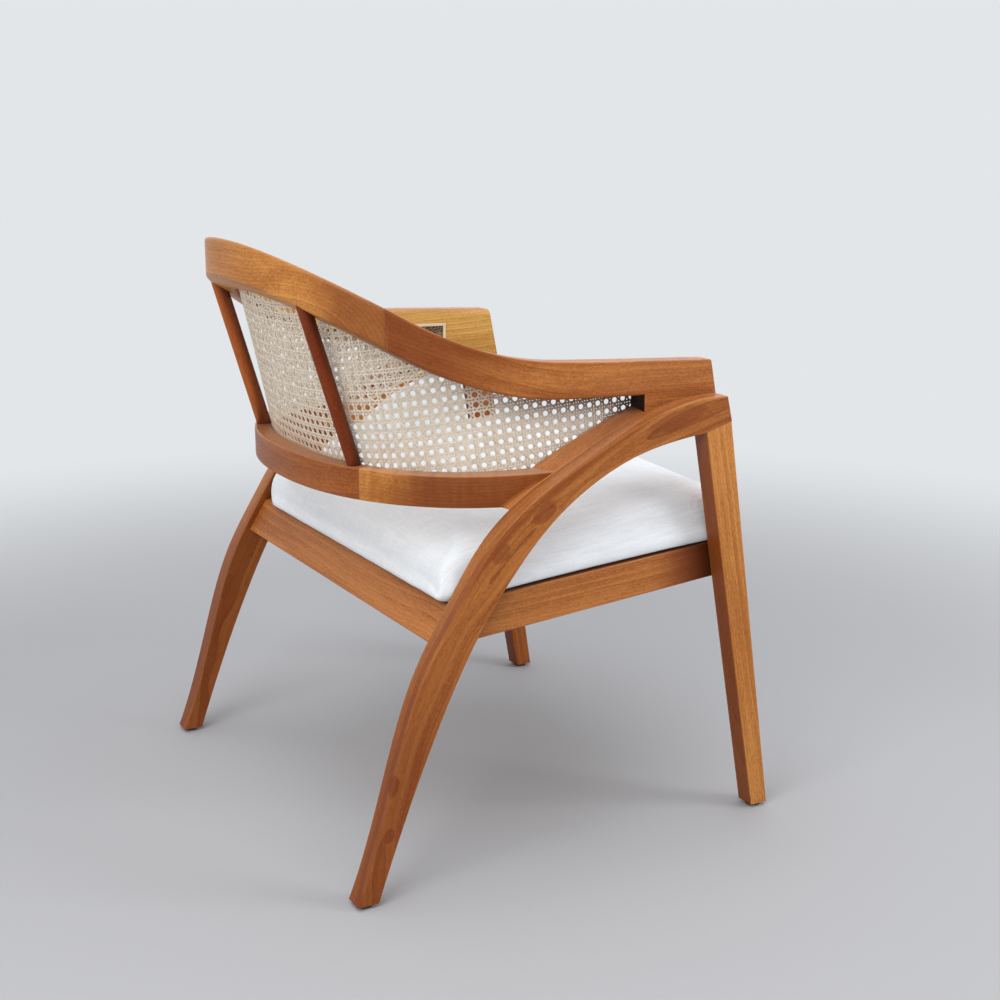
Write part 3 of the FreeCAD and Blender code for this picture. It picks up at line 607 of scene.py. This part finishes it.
for side, out, seed in (("left", 1, 0.4), ("right", -1, 6.2)):
    left = side == "left"
    lower_grain = straight((out * 0.13, -0.19, 0.0))
    slat_grain = straight((-out * 0.005, 0.0587, 0.197))
    sided_looks = {
        "rear_leg": dict(grain=LEG_GRAIN, tones=TEAK_LEG, pith=(0.004, out * 0.026),
                         dusk=(0.10, -0.34, 0.62), figure=0.3, bleach=0.14, marks=() if left else LEG_MARKS),
        # Front legs: painted shade darkens their front and rear faces, and the left leg's darker tones are
        # painted shade
        "front_leg": dict(grain=FRONT_LEG_GRAIN, tones=TEAK_RAIL if left else TEAK_WARM,
                          pith=(out * 0.01, 0.05), flank=0.85),
        "arm": dict(grain=ARM_GRAIN, tones=TEAK, pith=(0.09, 0.0), dusk=(0.03, 0.16, 0.75), nook=ARM_NOOK,
                    inner=TEAK_GOLD if left else None),
        "lower_rail": dict(grain=lower_grain, tones=TEAK_WARM, pith=(0.0, -0.05), dusk=(-0.10, -0.03, 0.8),
                           curl=0.8, bleach=0.5),
        "cheek": dict(grain=LEG_GRAIN, tones=TEAK, pith=(0.004, out * 0.05), bleach=0.14),
        # Back slats: their dark tones, darkest on the right slat, are partly the wood's own and partly
        # painted shade, and the corner shade at their tops is painted shadow under the crest
        "back_slat": dict(grain=slat_grain, tones=TEAK_RED if left else TEAK_DARK, pith=(0.03, 0.0),
                          grime=SLAT_CORNER_SHADE),
        # Seat rails: the dusk at the front end is painted shadow of the front leg, and the corner shade along
        # the top is painted shadow of the cushion's edge
        "seat_rail": dict(grain=RAIL_GRAIN, tones=TEAK, pith=(out * 0.01, -0.05),
                          dusk=(-0.095, -0.16, 0.85), grime=RAIL_CORNER_SHADE),
    }
    for i, (part, settings) in enumerate(sided_looks.items()):
        node = part + "_" + side
        looks[node] = wood(node, seed=seed + 1.1 * i, **settings)

pale = wood("seat_board", ACROSS_GRAIN, PALE_WOOD, (0.0, -0.2), 9.1, PALE_DEEP, bleach=0.0)
for node in nodes:
    if node.startswith("corner_block") or node.endswith("dowels") or node == "seat_board":
        looks[node] = pale


# Reed, plastic and steel
def reed():
    """Split reed along the cane's edges: pale straw with fine fibres."""
    look = Look("reed")
    place = look.place()
    fine = look.noise(place, 900.0)
    base = look.blend(look.noise(place, 30.0), *REED_TONES)
    base = look.paint(base, REED_FIBRE, fine, 0.35)
    look.bump(fine, distance=0.0002, strength=0.4)
    return look.finish(base, look.times_plus(fine, 0.2, 0.4))


def moulded():
    """Dark moulded plastic with a fine matt texture."""
    look = Look("glide_plastic")
    place = look.place()
    fine = look.noise(place, 1500.0)
    base = look.blend(look.noise(place, 60.0), *PLASTIC_TONES)
    look.bump(fine, distance=0.0001, strength=0.4)
    return look.finish(base, look.times_plus(fine, 0.15, 0.5))


def zinc():
    """Zinc plated steel."""
    look = Look("screw_steel")
    cloud = look.noise(look.place(), 300.0, detail=3.0)
    look.shader.inputs["Metallic"].default_value = 1.0
    look.bump(cloud, distance=0.00005, strength=0.3)
    return look.finish(look.blend(cloud, *ZINC_TONES), look.times_plus(cloud, 0.2, 0.28))


spline_look = reed()
for node in nodes:
    if node.startswith("cane_spline"):
        looks[node] = spline_look
looks["foot_glides"] = moulded()
looks["seat_screws"] = zinc()
for node, look in looks.items():
    mesh = nodes[node].data
    mesh.materials.clear()
    mesh.materials.append(look)


# Cane: the sheet is unrolled flat, woven there on straight lines, and rolled back
def bend_height(y):
    """Height of the crest's and arms' lower edge in side view: two straight runs joined by an arc."""
    rear_level = CREST_LOW_REAR[1] - CREST_SLOPE * CREST_LOW_REAR[0]
    front_level = ARM_LOW_FRONT[1] - ARM_LOW_SLOPE * ARM_LOW_FRONT[0]
    corner_y = (front_level - rear_level) / (CREST_SLOPE - ARM_LOW_SLOPE)
    corner_z = rear_level + CREST_SLOPE * corner_y
    steep = math.atan(CREST_SLOPE)
    flat = math.atan(ARM_LOW_SLOPE)
    reach = CREST_BEND * math.tan((steep - flat) / 2)
    end_y = corner_y - reach * math.cos(flat)
    centre_y = end_y - CREST_BEND * math.sin(flat)
    centre_z = corner_z - reach * math.sin(flat) + CREST_BEND * math.cos(flat)
    if y >= corner_y + reach * math.cos(steep):
        return rear_level + CREST_SLOPE * y
    if y <= end_y:
        return front_level + ARM_LOW_SLOPE * y
    return centre_z - math.sqrt(CREST_BEND ** 2 - (y - centre_y) ** 2)


def cane_plan(plan, steps, straight_steps):
    """Plan points of one edge of the cane, from the -X front end round to the +X one."""
    half, depth, centre_y, power = plan
    half -= CANE_CLEAR
    depth -= CANE_CLEAR
    points = []
    for step in range(steps + 1):
        angle = math.pi / 2 * step / steps
        x = half * math.sin(angle) ** (2 / power)
        y = centre_y + depth * max(0.0, math.cos(angle)) ** (2 / power)
        points.append((x, y))
    for step in range(1, straight_steps + 1):
        points.append((half, centre_y + (CANE_FRONT_Y - centre_y) * step / straight_steps))
    return [(-x, y) for x, y in reversed(points[1:])] + points


def cane_edges(steps=70, straight_steps=20):
    """The cane's lower and upper edges as matching rows of points."""
    low = []
    for x, y in cane_plan(LOW_PLAN, steps, straight_steps):
        climb = max(0.0, (LOW_PLAN[2] - y) / (LOW_PLAN[2] - CANE_FRONT_Y))
        low.append((x, y, CANE_FOOT_Z + (CANE_FRONT_LOW - CANE_FOOT_Z) * climb))
    high = [(x, y, bend_height(y) + CANE_LAP) for x, y in cane_plan(HIGH_PLAN, steps, straight_steps)]
    return np.array(low), np.array(high)


def third_corner(first, second, first_reach, second_reach, right):
    """The flat corner at given distances from two others, on the right or left of first to second."""
    way = second - first
    length = np.linalg.norm(way)
    way = way / length
    along = (first_reach ** 2 - second_reach ** 2 + length ** 2) / (2 * length)
    off = math.sqrt(max(0.0, first_reach ** 2 - along ** 2))
    side = np.array([way[1], -way[0]]) * (1 if right else -1)
    return first + way * along + side * off


def unrolled(low, high):
    """Flat places of both edges, with the middle ruling upright."""

    def gap(a, b):
        return np.linalg.norm(a - b)

    middle = len(low) // 2
    flat_low = np.zeros((len(low), 2))
    flat_high = np.zeros((len(low), 2))
    flat_high[middle] = (0.0, gap(low[middle], high[middle]))
    for step, right in ((1, True), (-1, False)):
        stop = len(low) if right else -1
        for i in range(middle + step, stop, step):
            j = i - step
            slant = gap(low[j], high[i])
            flat_high[i] = third_corner(flat_low[j], flat_high[j], slant, gap(high[j], high[i]), right)
            rise = gap(high[i], low[i])
            flat_low[i] = third_corner(flat_low[j], flat_high[i], gap(low[j], low[i]), rise, right)
    return flat_low, flat_high


low_edge, high_edge = cane_edges()
flat_low, flat_high = unrolled(low_edge, high_edge)


def cross(a, b):
    return a[..., 0] * b[..., 1] - a[..., 1] * b[..., 0]


def rolled(flat):
    """Places on the curved sheet for flat ones, the sheet's outward normals, and the share of the way up.

    The share is -1 past the sheet's front ends.
    """
    rise = flat_high - flat_low
    passed = (cross(rise[None], flat[:, None] - flat_low[None]) < 0).sum(1)
    strip = np.clip(passed - 1, 0, len(flat_low) - 2)
    corner = flat_low[strip]
    upper = cross(flat_high[strip + 1] - corner, flat - corner) > 0
    second = np.where(upper[:, None], flat_high[strip], flat_high[strip + 1])
    third = np.where(upper[:, None], flat_high[strip + 1], flat_low[strip + 1])
    area = cross(second - corner, third - corner)
    b = cross(flat - corner, third - corner) / area
    c = cross(second - corner, flat - corner) / area
    start = low_edge[strip]
    second_place = np.where(upper[:, None], high_edge[strip], high_edge[strip + 1])
    third_place = np.where(upper[:, None], high_edge[strip + 1], low_edge[strip + 1])
    place = start * (1 - b - c)[:, None] + second_place * b[:, None] + third_place * c[:, None]
    along = (low_edge[strip + 1] - start) + (high_edge[strip + 1] - high_edge[strip])
    normal = np.cross(high_edge[strip] - start, along)
    normal /= np.linalg.norm(normal, axis=1)[:, None]
    share = np.where(upper, b + c, b)
    inside = (passed > 0) & (passed < len(flat_low))
    return place, normal, np.where(inside, share, -1.0)


def sheet_end(start, way, inner, outer):
    """The last mark of a strand on the sheet, between a mark on it and a mark off it."""
    for _ in range(STRAND_END_HALVINGS):
        trial = (inner + outer) / 2
        share = rolled((start + way * trial)[None])[2][0]
        if 0 < share < 1:
            inner = trial
        else:
            outer = trial
    return inner


def strand_runs(start, way, marks):
    """The parts of one straight strand that lie on the sheet, as rows of marks along it."""
    share = rolled(start[None] + way[None] * marks[:, None])[2]
    good = np.concatenate(([0], (share > 0) & (share < 1), [0]))
    runs = []
    for first, stop in np.flatnonzero(np.diff(good)).reshape(-1, 2):
        run = list(marks[first:stop])
        if first > 0:
            end = sheet_end(start, way, marks[first], marks[first - 1])
            if abs(end - marks[first]) > STRAND_LEAST_END:
                run.insert(0, end)
        if stop < len(marks):
            end = sheet_end(start, way, marks[stop - 1], marks[stop])
            if abs(end - marks[stop - 1]) > STRAND_LEAST_END:
                run.append(end)
        if run[-1] - run[0] > STRAND_LEAST_RUN:
            runs.append(np.array(run))
    return runs


def strip_faces(first, rows):
    """Faces of a closed strip whose rows of profile points start at a given vertex."""
    sides = len(STRAND_PROFILE)
    faces = []
    for i in range(rows - 1):
        for k in range(sides):
            a = first + sides * i + k
            b = first + sides * i + (k + 1) % sides
            faces.append((a, b, b + sides, a + sides))
    last = first + sides * (rows - 1)
    faces.append(tuple(first + k for k in reversed(range(sides))))
    faces.append(tuple(last + k for k in range(sides)))
    return faces


def strand_mesh(name, strands):
    """One mesh of flat strips; each strand is its start, way, marks and lift function.

    A point keeps its place along and across its strand, the strand's number, and its share of the way up.
    """
    verts, faces, strand_places, climbs = [], [], [], []
    number = 0
    for start, way, marks, lift in strands:
        side = np.array([-way[1], way[0]])
        for run in strand_runs(start, way, marks):
            flat = start[None] + way[None] * run[:, None]
            place, normal, climb = rolled(flat)
            beside = rolled(flat + side[None] * STRAND_SIDE_STEP)[0] - place
            beside -= normal * (beside * normal).sum(1)[:, None]
            beside /= np.linalg.norm(beside, axis=1)[:, None]
            height = lift(run)
            faces += strip_faces(len(verts), len(run))
            for i in range(len(run)):
                for across, up in STRAND_PROFILE:
                    off = beside[i] * across * CANE_STRAND
                    off = off + normal[i] * (height[i] + up * CANE_STRAND_THICK)
                    verts.append(tuple(place[i] + off))
                    strand_places.append((run[i], across * CANE_STRAND, number * STRAND_NUMBER_STEP))
                    climbs.append(climb[i])
            number += 1
    mesh = bpy.data.meshes.new(name)
    mesh.from_pydata(verts, [], faces)
    attribute = mesh.attributes.new("strand", "FLOAT_VECTOR", "POINT")
    attribute.data.foreach_set("vector", np.array(strand_places, np.float32).ravel())
    attribute = mesh.attributes.new("climb", "FLOAT", "POINT")
    attribute.data.foreach_set("value", np.array(climbs, np.float32))
    mesh.validate()
    mesh.shade_smooth()
    return mesh


def weave_lift(sign):
    """Lift of a strand that goes over and under at each crossing with a pair, by its marks."""

    def lift(t):
        off = t - np.round(t / CANE_PITCH) * CANE_PITCH
        return np.where(np.abs(off) < CANE_PAIR, -sign * CANE_LIFT * np.sin(np.pi * off / CANE_PAIR), 0.0)

    return lift


def diagonal_lift(sign):
    """Lift of a diagonal strand, over one crossing and under the next, by its marks."""

    def lift(t):
        return CANE_DIAGONAL_LIFT * sign * np.cos(2 * np.pi * t / math.sqrt(2) / CANE_PITCH)

    return lift


def weave_marks(low, high):
    """Marks along a strand at the same offsets in every cell of the weave."""
    offsets = (-CANE_PAIR, -CANE_PAIR / 2, 0.0, CANE_PAIR / 2, CANE_PAIR, CANE_PITCH / 2)
    cells = np.arange(math.floor(low / CANE_PITCH), math.ceil(high / CANE_PITCH) + 1)
    return np.sort((cells[:, None] * CANE_PITCH + np.array(offsets)[None]).ravel())


def weave_lines(low, high):
    """Numbers of the weave's lines that cover a stretch, with one to spare at each end."""
    return range(math.floor(low / CANE_PITCH) - 1, math.ceil(high / CANE_PITCH) + 2)


def cane_families():
    """Strands of the four directions of the weave, on the flat sheet."""
    all_flat = np.vstack((flat_low, flat_high))
    low_x, low_y = all_flat.min(0)
    high_x, high_y = all_flat.max(0)
    weft_way = np.array([1.0, 0.0])
    warp_way = np.array([0.0, 1.0])
    weft, warp = [], []
    for sign in (1, -1):
        off = sign * CANE_PAIR / 2
        for k in weave_lines(low_y, high_y):
            start = np.array([0.0, k * CANE_PITCH - off])
            weft.append((start, weft_way, weave_marks(low_x, high_x), weave_lift(sign)))
        for k in weave_lines(low_x, high_x):
            start = np.array([k * CANE_PITCH - off, 0.0])
            warp.append((start, warp_way, weave_marks(low_y, high_y), weave_lift(-sign)))
    families = {"cane_weft": weft, "cane_warp": warp}
    reach = 2 * max(high_x - low_x, high_y - low_y)
    marks = np.arange(-reach, reach, CANE_PITCH * math.sqrt(2) / DIAGONAL_STEPS)
    marks -= marks[np.argmin(np.abs(marks))]
    lines = int(reach / CANE_PITCH)
    for name, slope in (("cane_diagonal_rising", 1.0), ("cane_diagonal_falling", -1.0)):
        way = np.array([1.0, slope]) / math.sqrt(2)
        starts = [np.array([0.0, (n + 0.5) * CANE_PITCH]) for n in range(-lines, lines)]
        families[name] = [(start, way, marks, diagonal_lift(slope)) for start in starts]
    return families


def cane_look():
    """Split cane: pale straw, streaked along each strand, with painted shade at its rims, under the arms and
    in front.
    """
    look = Look("cane")
    place = look.attribute("strand", "Vector")
    _, across, number = look.split(place)
    climb = look.attribute("climb", "Fac")
    y = look.split(look.place())[1]
    stretch = look.noise(place, STRETCH_CELLS)
    fibre = look.noise(place, CANE_FIBRE_CELLS)
    tone = look.total([(stretch, STRETCH_SHARE), (look.draw(number), STRAND_SHARE)])
    base = look.blend(look.range(tone, 0.2, 0.95), *CANE_TONES)
    base = look.paint(base, CANE_FIBRE, look.range(fibre, 0.5, 0.75), CANE_FIBRE_SHARE)
    # Painted shade at the rims of strands, stronger toward the front
    rim_shade = look.range(look.size(across), CANE_STRAND * RIM_WIDTHS[0], CANE_STRAND * RIM_WIDTHS[1])
    rim_shade = look.times(rim_shade, look.range(y, *RIM_Y, *RIM_SHARES))
    base = look.paint(base, CANE_RIM_SHADE, rim_shade)
    # Painted shade under the arms, at the sides and at the front ends
    shade = look.times(look.range(climb, *ARM_SHADE_CLIMB), look.range(y, *ARM_SHADE_Y))
    shade = look.times_plus(shade, ARM_SHADE_SHARE, look.range(y, *SIDE_SHADE_Y, *SIDE_SHADE_SHARES))
    shade = look.math("MAXIMUM", shade, look.range(y, *FRONT_SHADE_Y, *FRONT_SHADE_SHARES))
    base = look.paint(base, CANE_SHADE, shade)
    look.bump(fibre, distance=0.0001, strength=0.4)
    return look.finish(base, look.times_plus(fibre, 0.2, 0.36))


cane_material = cane_look()
for name, strands in cane_families().items():
    woven = new_piece(name, strand_mesh(name, strands))
    woven.data.materials.append(cane_material)
    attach(woven, "root")
    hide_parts("cane_panel")


# Cushion
def linen():
    """Off-white plain weave: crossing yarns with slubs, on whichever two axes a face lies."""
    look = Look("linen")
    point = look.place()
    x, y, z = look.split(point)
    waves = [look.math("SINE", look.times(axis, 2 * math.pi / YARN_PITCH)) for axis in (x, y, z)]
    facing = [look.size(axis) for axis in look.split(look.normal())]
    crossings = []
    for first, second, face in ((1, 2, 0), (2, 0, 1), (0, 1, 2)):
        crossings.append((look.times(waves[first], waves[second]), facing[face]))
    weave = look.times_plus(look.total(crossings), 0.5, 0.5)
    long_slub = look.noise(point, LONG_SLUB_CELLS)
    cross_slub = look.noise(point, CROSS_SLUB_CELLS)
    slub = look.total([(long_slub, 0.5), (cross_slub, 0.5)])
    base = look.blend(look.range(slub, 0.35, 0.65), *LINEN_TONES)
    base = look.paint(base, LINEN_GAPS, look.minus(1.0, weave), GAP_SHARE)
    base = look.paint(base, LINEN_CLOUDS, look.noise(point, 9.0, detail=3.0), CLOUD_SHARE)
    reach = look.distance(look.joined(look.size(x), y, z), RIPPLE_PLACE)
    ripple = look.math("SINE", look.times(reach, 2 * math.pi / RIPPLE_PITCH))
    ripple = look.times(ripple, look.range(reach, *RIPPLE_REACH))
    height = look.times_plus(slub, SLUB_RELIEF, weave)
    height = look.times_plus(ripple, RIPPLE_RELIEF, height)
    look.bump(height, distance=0.0004, strength=0.5)
    look.shader.inputs["Sheen Weight"].default_value = LINEN_SHEEN
    look.shader.inputs["Sheen Roughness"].default_value = 0.5
    return look.finish(base, LINEN_ROUGH)


def baked(piece):
    """Swap the piece's mesh for what its modifiers make of it."""
    graph = bpy.context.evaluated_depsgraph_get()
    mesh = bpy.data.meshes.new_from_object(piece.evaluated_get(graph))
    piece.modifiers.clear()
    piece.data = mesh


def over_seat(points):
    """Height of points over the seat rails' top plane."""
    return (points[:, 2] - SEAT_Z + SEAT_SLOPE * points[:, 1]) / math.hypot(1, SEAT_SLOPE)


def tilted(piece, angle):
    """Turn the piece's points about the X axis."""
    points = places(piece)
    y, z = points[:, 1].copy(), points[:, 2].copy()
    points[:, 1] = y * math.cos(angle) - z * math.sin(angle)
    points[:, 2] = y * math.sin(angle) + z * math.cos(angle)
    set_places(piece, points)


def remeshed(piece):
    """Even faces, square to the seat's plane."""
    tilt = math.atan(SEAT_SLOPE)
    tilted(piece, tilt)
    remesh = piece.modifiers.new("remesh", "REMESH")
    remesh.mode = "VOXEL"
    remesh.voxel_size = CUSHION_VOXEL
    baked(piece)
    tilted(piece, -tilt)


def smoothed(piece, count):
    smooth = piece.modifiers.new("smooth", "SMOOTH")
    smooth.iterations = count
    smooth.factor = 0.5
    baked(piece)


def swell(piece, held):
    """Blow the cover up with a cloth simulation, each point moving no further than the cap."""
    group = piece.vertex_groups.new(name="held")
    group.add([int(i) for i in np.flatnonzero(held)], 1.0, "REPLACE")
    start = places(piece)
    cloth = piece.modifiers.new("cloth", "CLOTH")
    for name, value in COVER_CLOTH.items():
        setattr(cloth.settings, name, value)
    cloth.settings.vertex_group_mass = "held"
    cloth.settings.effector_weights.gravity = 0
    cloth.point_cache.frame_start = 1
    cloth.point_cache.frame_end = CUSHION_STEPS
    scene = bpy.context.scene
    for step in range(1, CUSHION_STEPS + 1):
        scene.frame_set(step)
    baked(piece)
    scene.frame_set(1)
    moved = places(piece) - start
    length = np.linalg.norm(moved, axis=1)
    share = np.minimum(1.0, CUSHION_CAP / np.maximum(length, 1e-9))
    set_places(piece, start + moved * share[:, None])


def wrinkled(piece):
    """Small pulls where the cover is drawn down over the edge of the seat."""
    points = places(piece)
    out = normals(piece)
    rise = over_seat(points)
    moved = np.zeros(len(points))
    for i, (x, y, _) in enumerate(points):
        if rise[i] < PULL_FOOT or out[i][2] > PULL_UPWARD:
            continue
        along = y if abs(out[i][0]) > abs(out[i][1]) else x
        broad = Vector((along, rise[i], x)) * Vector(BROAD_PULL_CELLS)
        fine = Vector((along, rise[i], y)) * Vector(FINE_PULL_CELLS)
        fine.z += FINE_PULL_SHIFT
        size = noise.noise(broad) * BROAD_PULL + noise.noise(fine) * FINE_PULL
        moved[i] = size * math.exp((PULL_FOOT - rise[i]) / PULL_FADE)
    set_places(piece, points + out * moved[:, None])


def round_corner(points, rise):
    """Round the rear left corner in plan, most of all low down and at the top."""
    radius = CORNER_RADIUS + CORNER_DRAW_IN * (rise - CORNER_WAIST) ** 2
    off = points[:, :2] - np.stack((CORNER_SIDE - radius, CORNER_REAR - radius), 1)
    reach = np.linalg.norm(off, axis=1)
    outer = (off[:, 0] > 0) & (off[:, 1] > 0) & (reach > radius)
    points[outer, :2] -= off[outer] * (1 - radius[outer] / reach[outer])[:, None]


def crisp_corner(points, rise):
    """Draw the rear right corner out to its leg, most of all low down."""
    outward = np.clip((CRISP_START[0] - points[:, 0]) / CRISP_SPAN, 0, 1)
    backward = np.clip((points[:, 1] - CRISP_START[1]) / CRISP_SPAN, 0, 1)
    share = (outward * backward) ** 2 * np.clip(1 - rise / CRISP_HEIGHT, 0, 1)
    points[:, 0] -= CRISP_PUSH * share
    points[:, 1] += CRISP_PUSH * share / 2


def cushion():
    """The upholstered seat: remeshed from its solid, swollen, and drawn down at its lower edge."""
    piece = new_piece("seat_cushion", nodes["seat_pad"].data.copy())
    remeshed(piece)
    smoothed(piece, 3)
    wrap = piece.modifiers.new("wrap", "SHRINKWRAP")
    wrap.target = nodes["seat_pad"]
    baked(piece)
    smoothed(piece, 2)
    points = places(piece)
    rise = over_seat(points)
    free = np.clip((rise - CUSHION_HELD) / CUSHION_FREE, 0.0, 1.0)
    set_places(piece, points - normals(piece) * (CUSHION_SHRINK * free)[:, None])
    swell(piece, rise < CUSHION_HELD)
    smoothed(piece, 3)
    wrinkled(piece)
    points = places(piece)
    rise = over_seat(points)
    round_corner(points, rise)
    crisp_corner(points, rise)
    points[:, 0] = np.clip(points[:, 0], -CUSHION_SIDE, CUSHION_SIDE)
    lowest = SEAT_Z - SEAT_SLOPE * points[:, 1] + CUSHION_CLEAR
    points[:, 2] = np.maximum(points[:, 2], lowest)
    set_places(piece, points)
    piece.data.materials.clear()
    piece.data.materials.append(linen())
    piece.data.shade_smooth()
    finer = piece.modifiers.new("finer", "SUBSURF")
    finer.levels = 1
    finer.render_levels = 1
    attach(piece, "root")
    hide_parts("seat_pad")


cushion()


# Floor, light and camera
def floor():
    """A plain pale floor that fades into the background away from the chair."""
    verts = [(0.0, 0.0, 0.0)]
    faces = []
    for ring in FLOOR_RINGS:
        for spoke in range(FLOOR_SPOKES):
            angle = 2 * math.pi * spoke / FLOOR_SPOKES
            verts.append((ring * math.cos(angle), ring * math.sin(angle), 0.0))
    for spoke in range(FLOOR_SPOKES):
        beside = (spoke + 1) % FLOOR_SPOKES
        faces.append((0, 1 + spoke, 1 + beside))
        for ring in range(len(FLOOR_RINGS) - 1):
            inner = 1 + ring * FLOOR_SPOKES
            outer = inner + FLOOR_SPOKES
            faces.append((inner + spoke, outer + spoke, outer + beside, inner + beside))
    mesh = bpy.data.meshes.new("floor")
    mesh.from_pydata(verts, [], faces)
    piece = new_piece("floor", mesh)
    look = Look("floor")
    look.finish(FLOOR_TONE, 0.75)
    reach = look.range(look.length(look.place()), *FLOOR_FADE)
    far = look.add("ShaderNodeEmission", [("Color", colour(BACKGROUND)), ("Strength", 1.0)])
    mix = look.add("ShaderNodeMixShader", enumerate((reach, look.shader.outputs[0], far.outputs[0])))
    look.put(look.tree.nodes["Material Output"].inputs["Surface"], mix.outputs[0])
    mesh.materials.append(look.material)


def aim(piece, place, way):
    """Put a lamp or camera at a place, looking along a way."""
    piece.location = place
    piece.rotation_euler = Vector(way).to_track_quat("-Z", "Y").to_euler()


def lamp(name, place, target, size, power, tint):
    light = bpy.data.lights.new(name, "AREA")
    light.shape = "SQUARE"
    light.size = size
    light.energy = power
    light.color = tint
    aim(new_piece(name, light), place, Vector(target) - Vector(place))


def surroundings():
    """Even light, the background's colour for the camera, and one bright side in reflections."""
    world = bpy.data.worlds.new("studio")
    bpy.context.scene.world = world
    world.use_nodes = True
    tree = world.node_tree
    tree.nodes.clear()

    def background(tint):
        node = tree.nodes.new("ShaderNodeBackground")
        node.inputs["Color"].default_value = colour(tint)
        return node

    even = background(EVEN_TINT)
    even.inputs["Strength"].default_value = EVEN_STRENGTH
    way = tree.nodes.new("ShaderNodeTexCoord")
    facing = tree.nodes.new("ShaderNodeVectorMath")
    facing.operation = "DOT_PRODUCT"
    facing.inputs[1].default_value = REFLECTED_WAY
    bright = tree.nodes.new("ShaderNodeMapRange")
    for socket, value in zip(bright.inputs[1:], (*REFLECTED_FACING, *REFLECTED_STRENGTH)):
        socket.default_value = value
    reflected = background(BACKGROUND)
    tree.links.new(way.outputs["Generated"], facing.inputs[0])
    tree.links.new(facing.outputs["Value"], bright.inputs[0])
    tree.links.new(bright.outputs[0], reflected.inputs["Strength"])
    path = tree.nodes.new("ShaderNodeLightPath")
    result = even.outputs[0]
    for ray, light in (("Is Glossy Ray", reflected), ("Is Camera Ray", background(BACKGROUND))):
        mix = tree.nodes.new("ShaderNodeMixShader")
        tree.links.new(path.outputs[ray], mix.inputs[0])
        tree.links.new(result, mix.inputs[1])
        tree.links.new(light.outputs[0], mix.inputs[2])
        result = mix.outputs[0]
    output = tree.nodes.new("ShaderNodeOutputWorld")
    tree.links.new(result, output.inputs["Surface"])


def photo_camera():
    data = bpy.data.cameras.new("camera")
    data.lens = CAMERA_LENS
    data.sensor_width = SENSOR_WIDTH
    data.sensor_fit = "HORIZONTAL"
    piece = new_piece("camera", data)
    aim(piece, CAMERA_PLACE, CAMERA_FORWARD)
    bpy.context.scene.camera = piece


floor()
for settings in LAMPS:
    lamp(*settings)
surroundings()
photo_camera()
bpy.context.scene.view_settings.view_transform = "Standard"
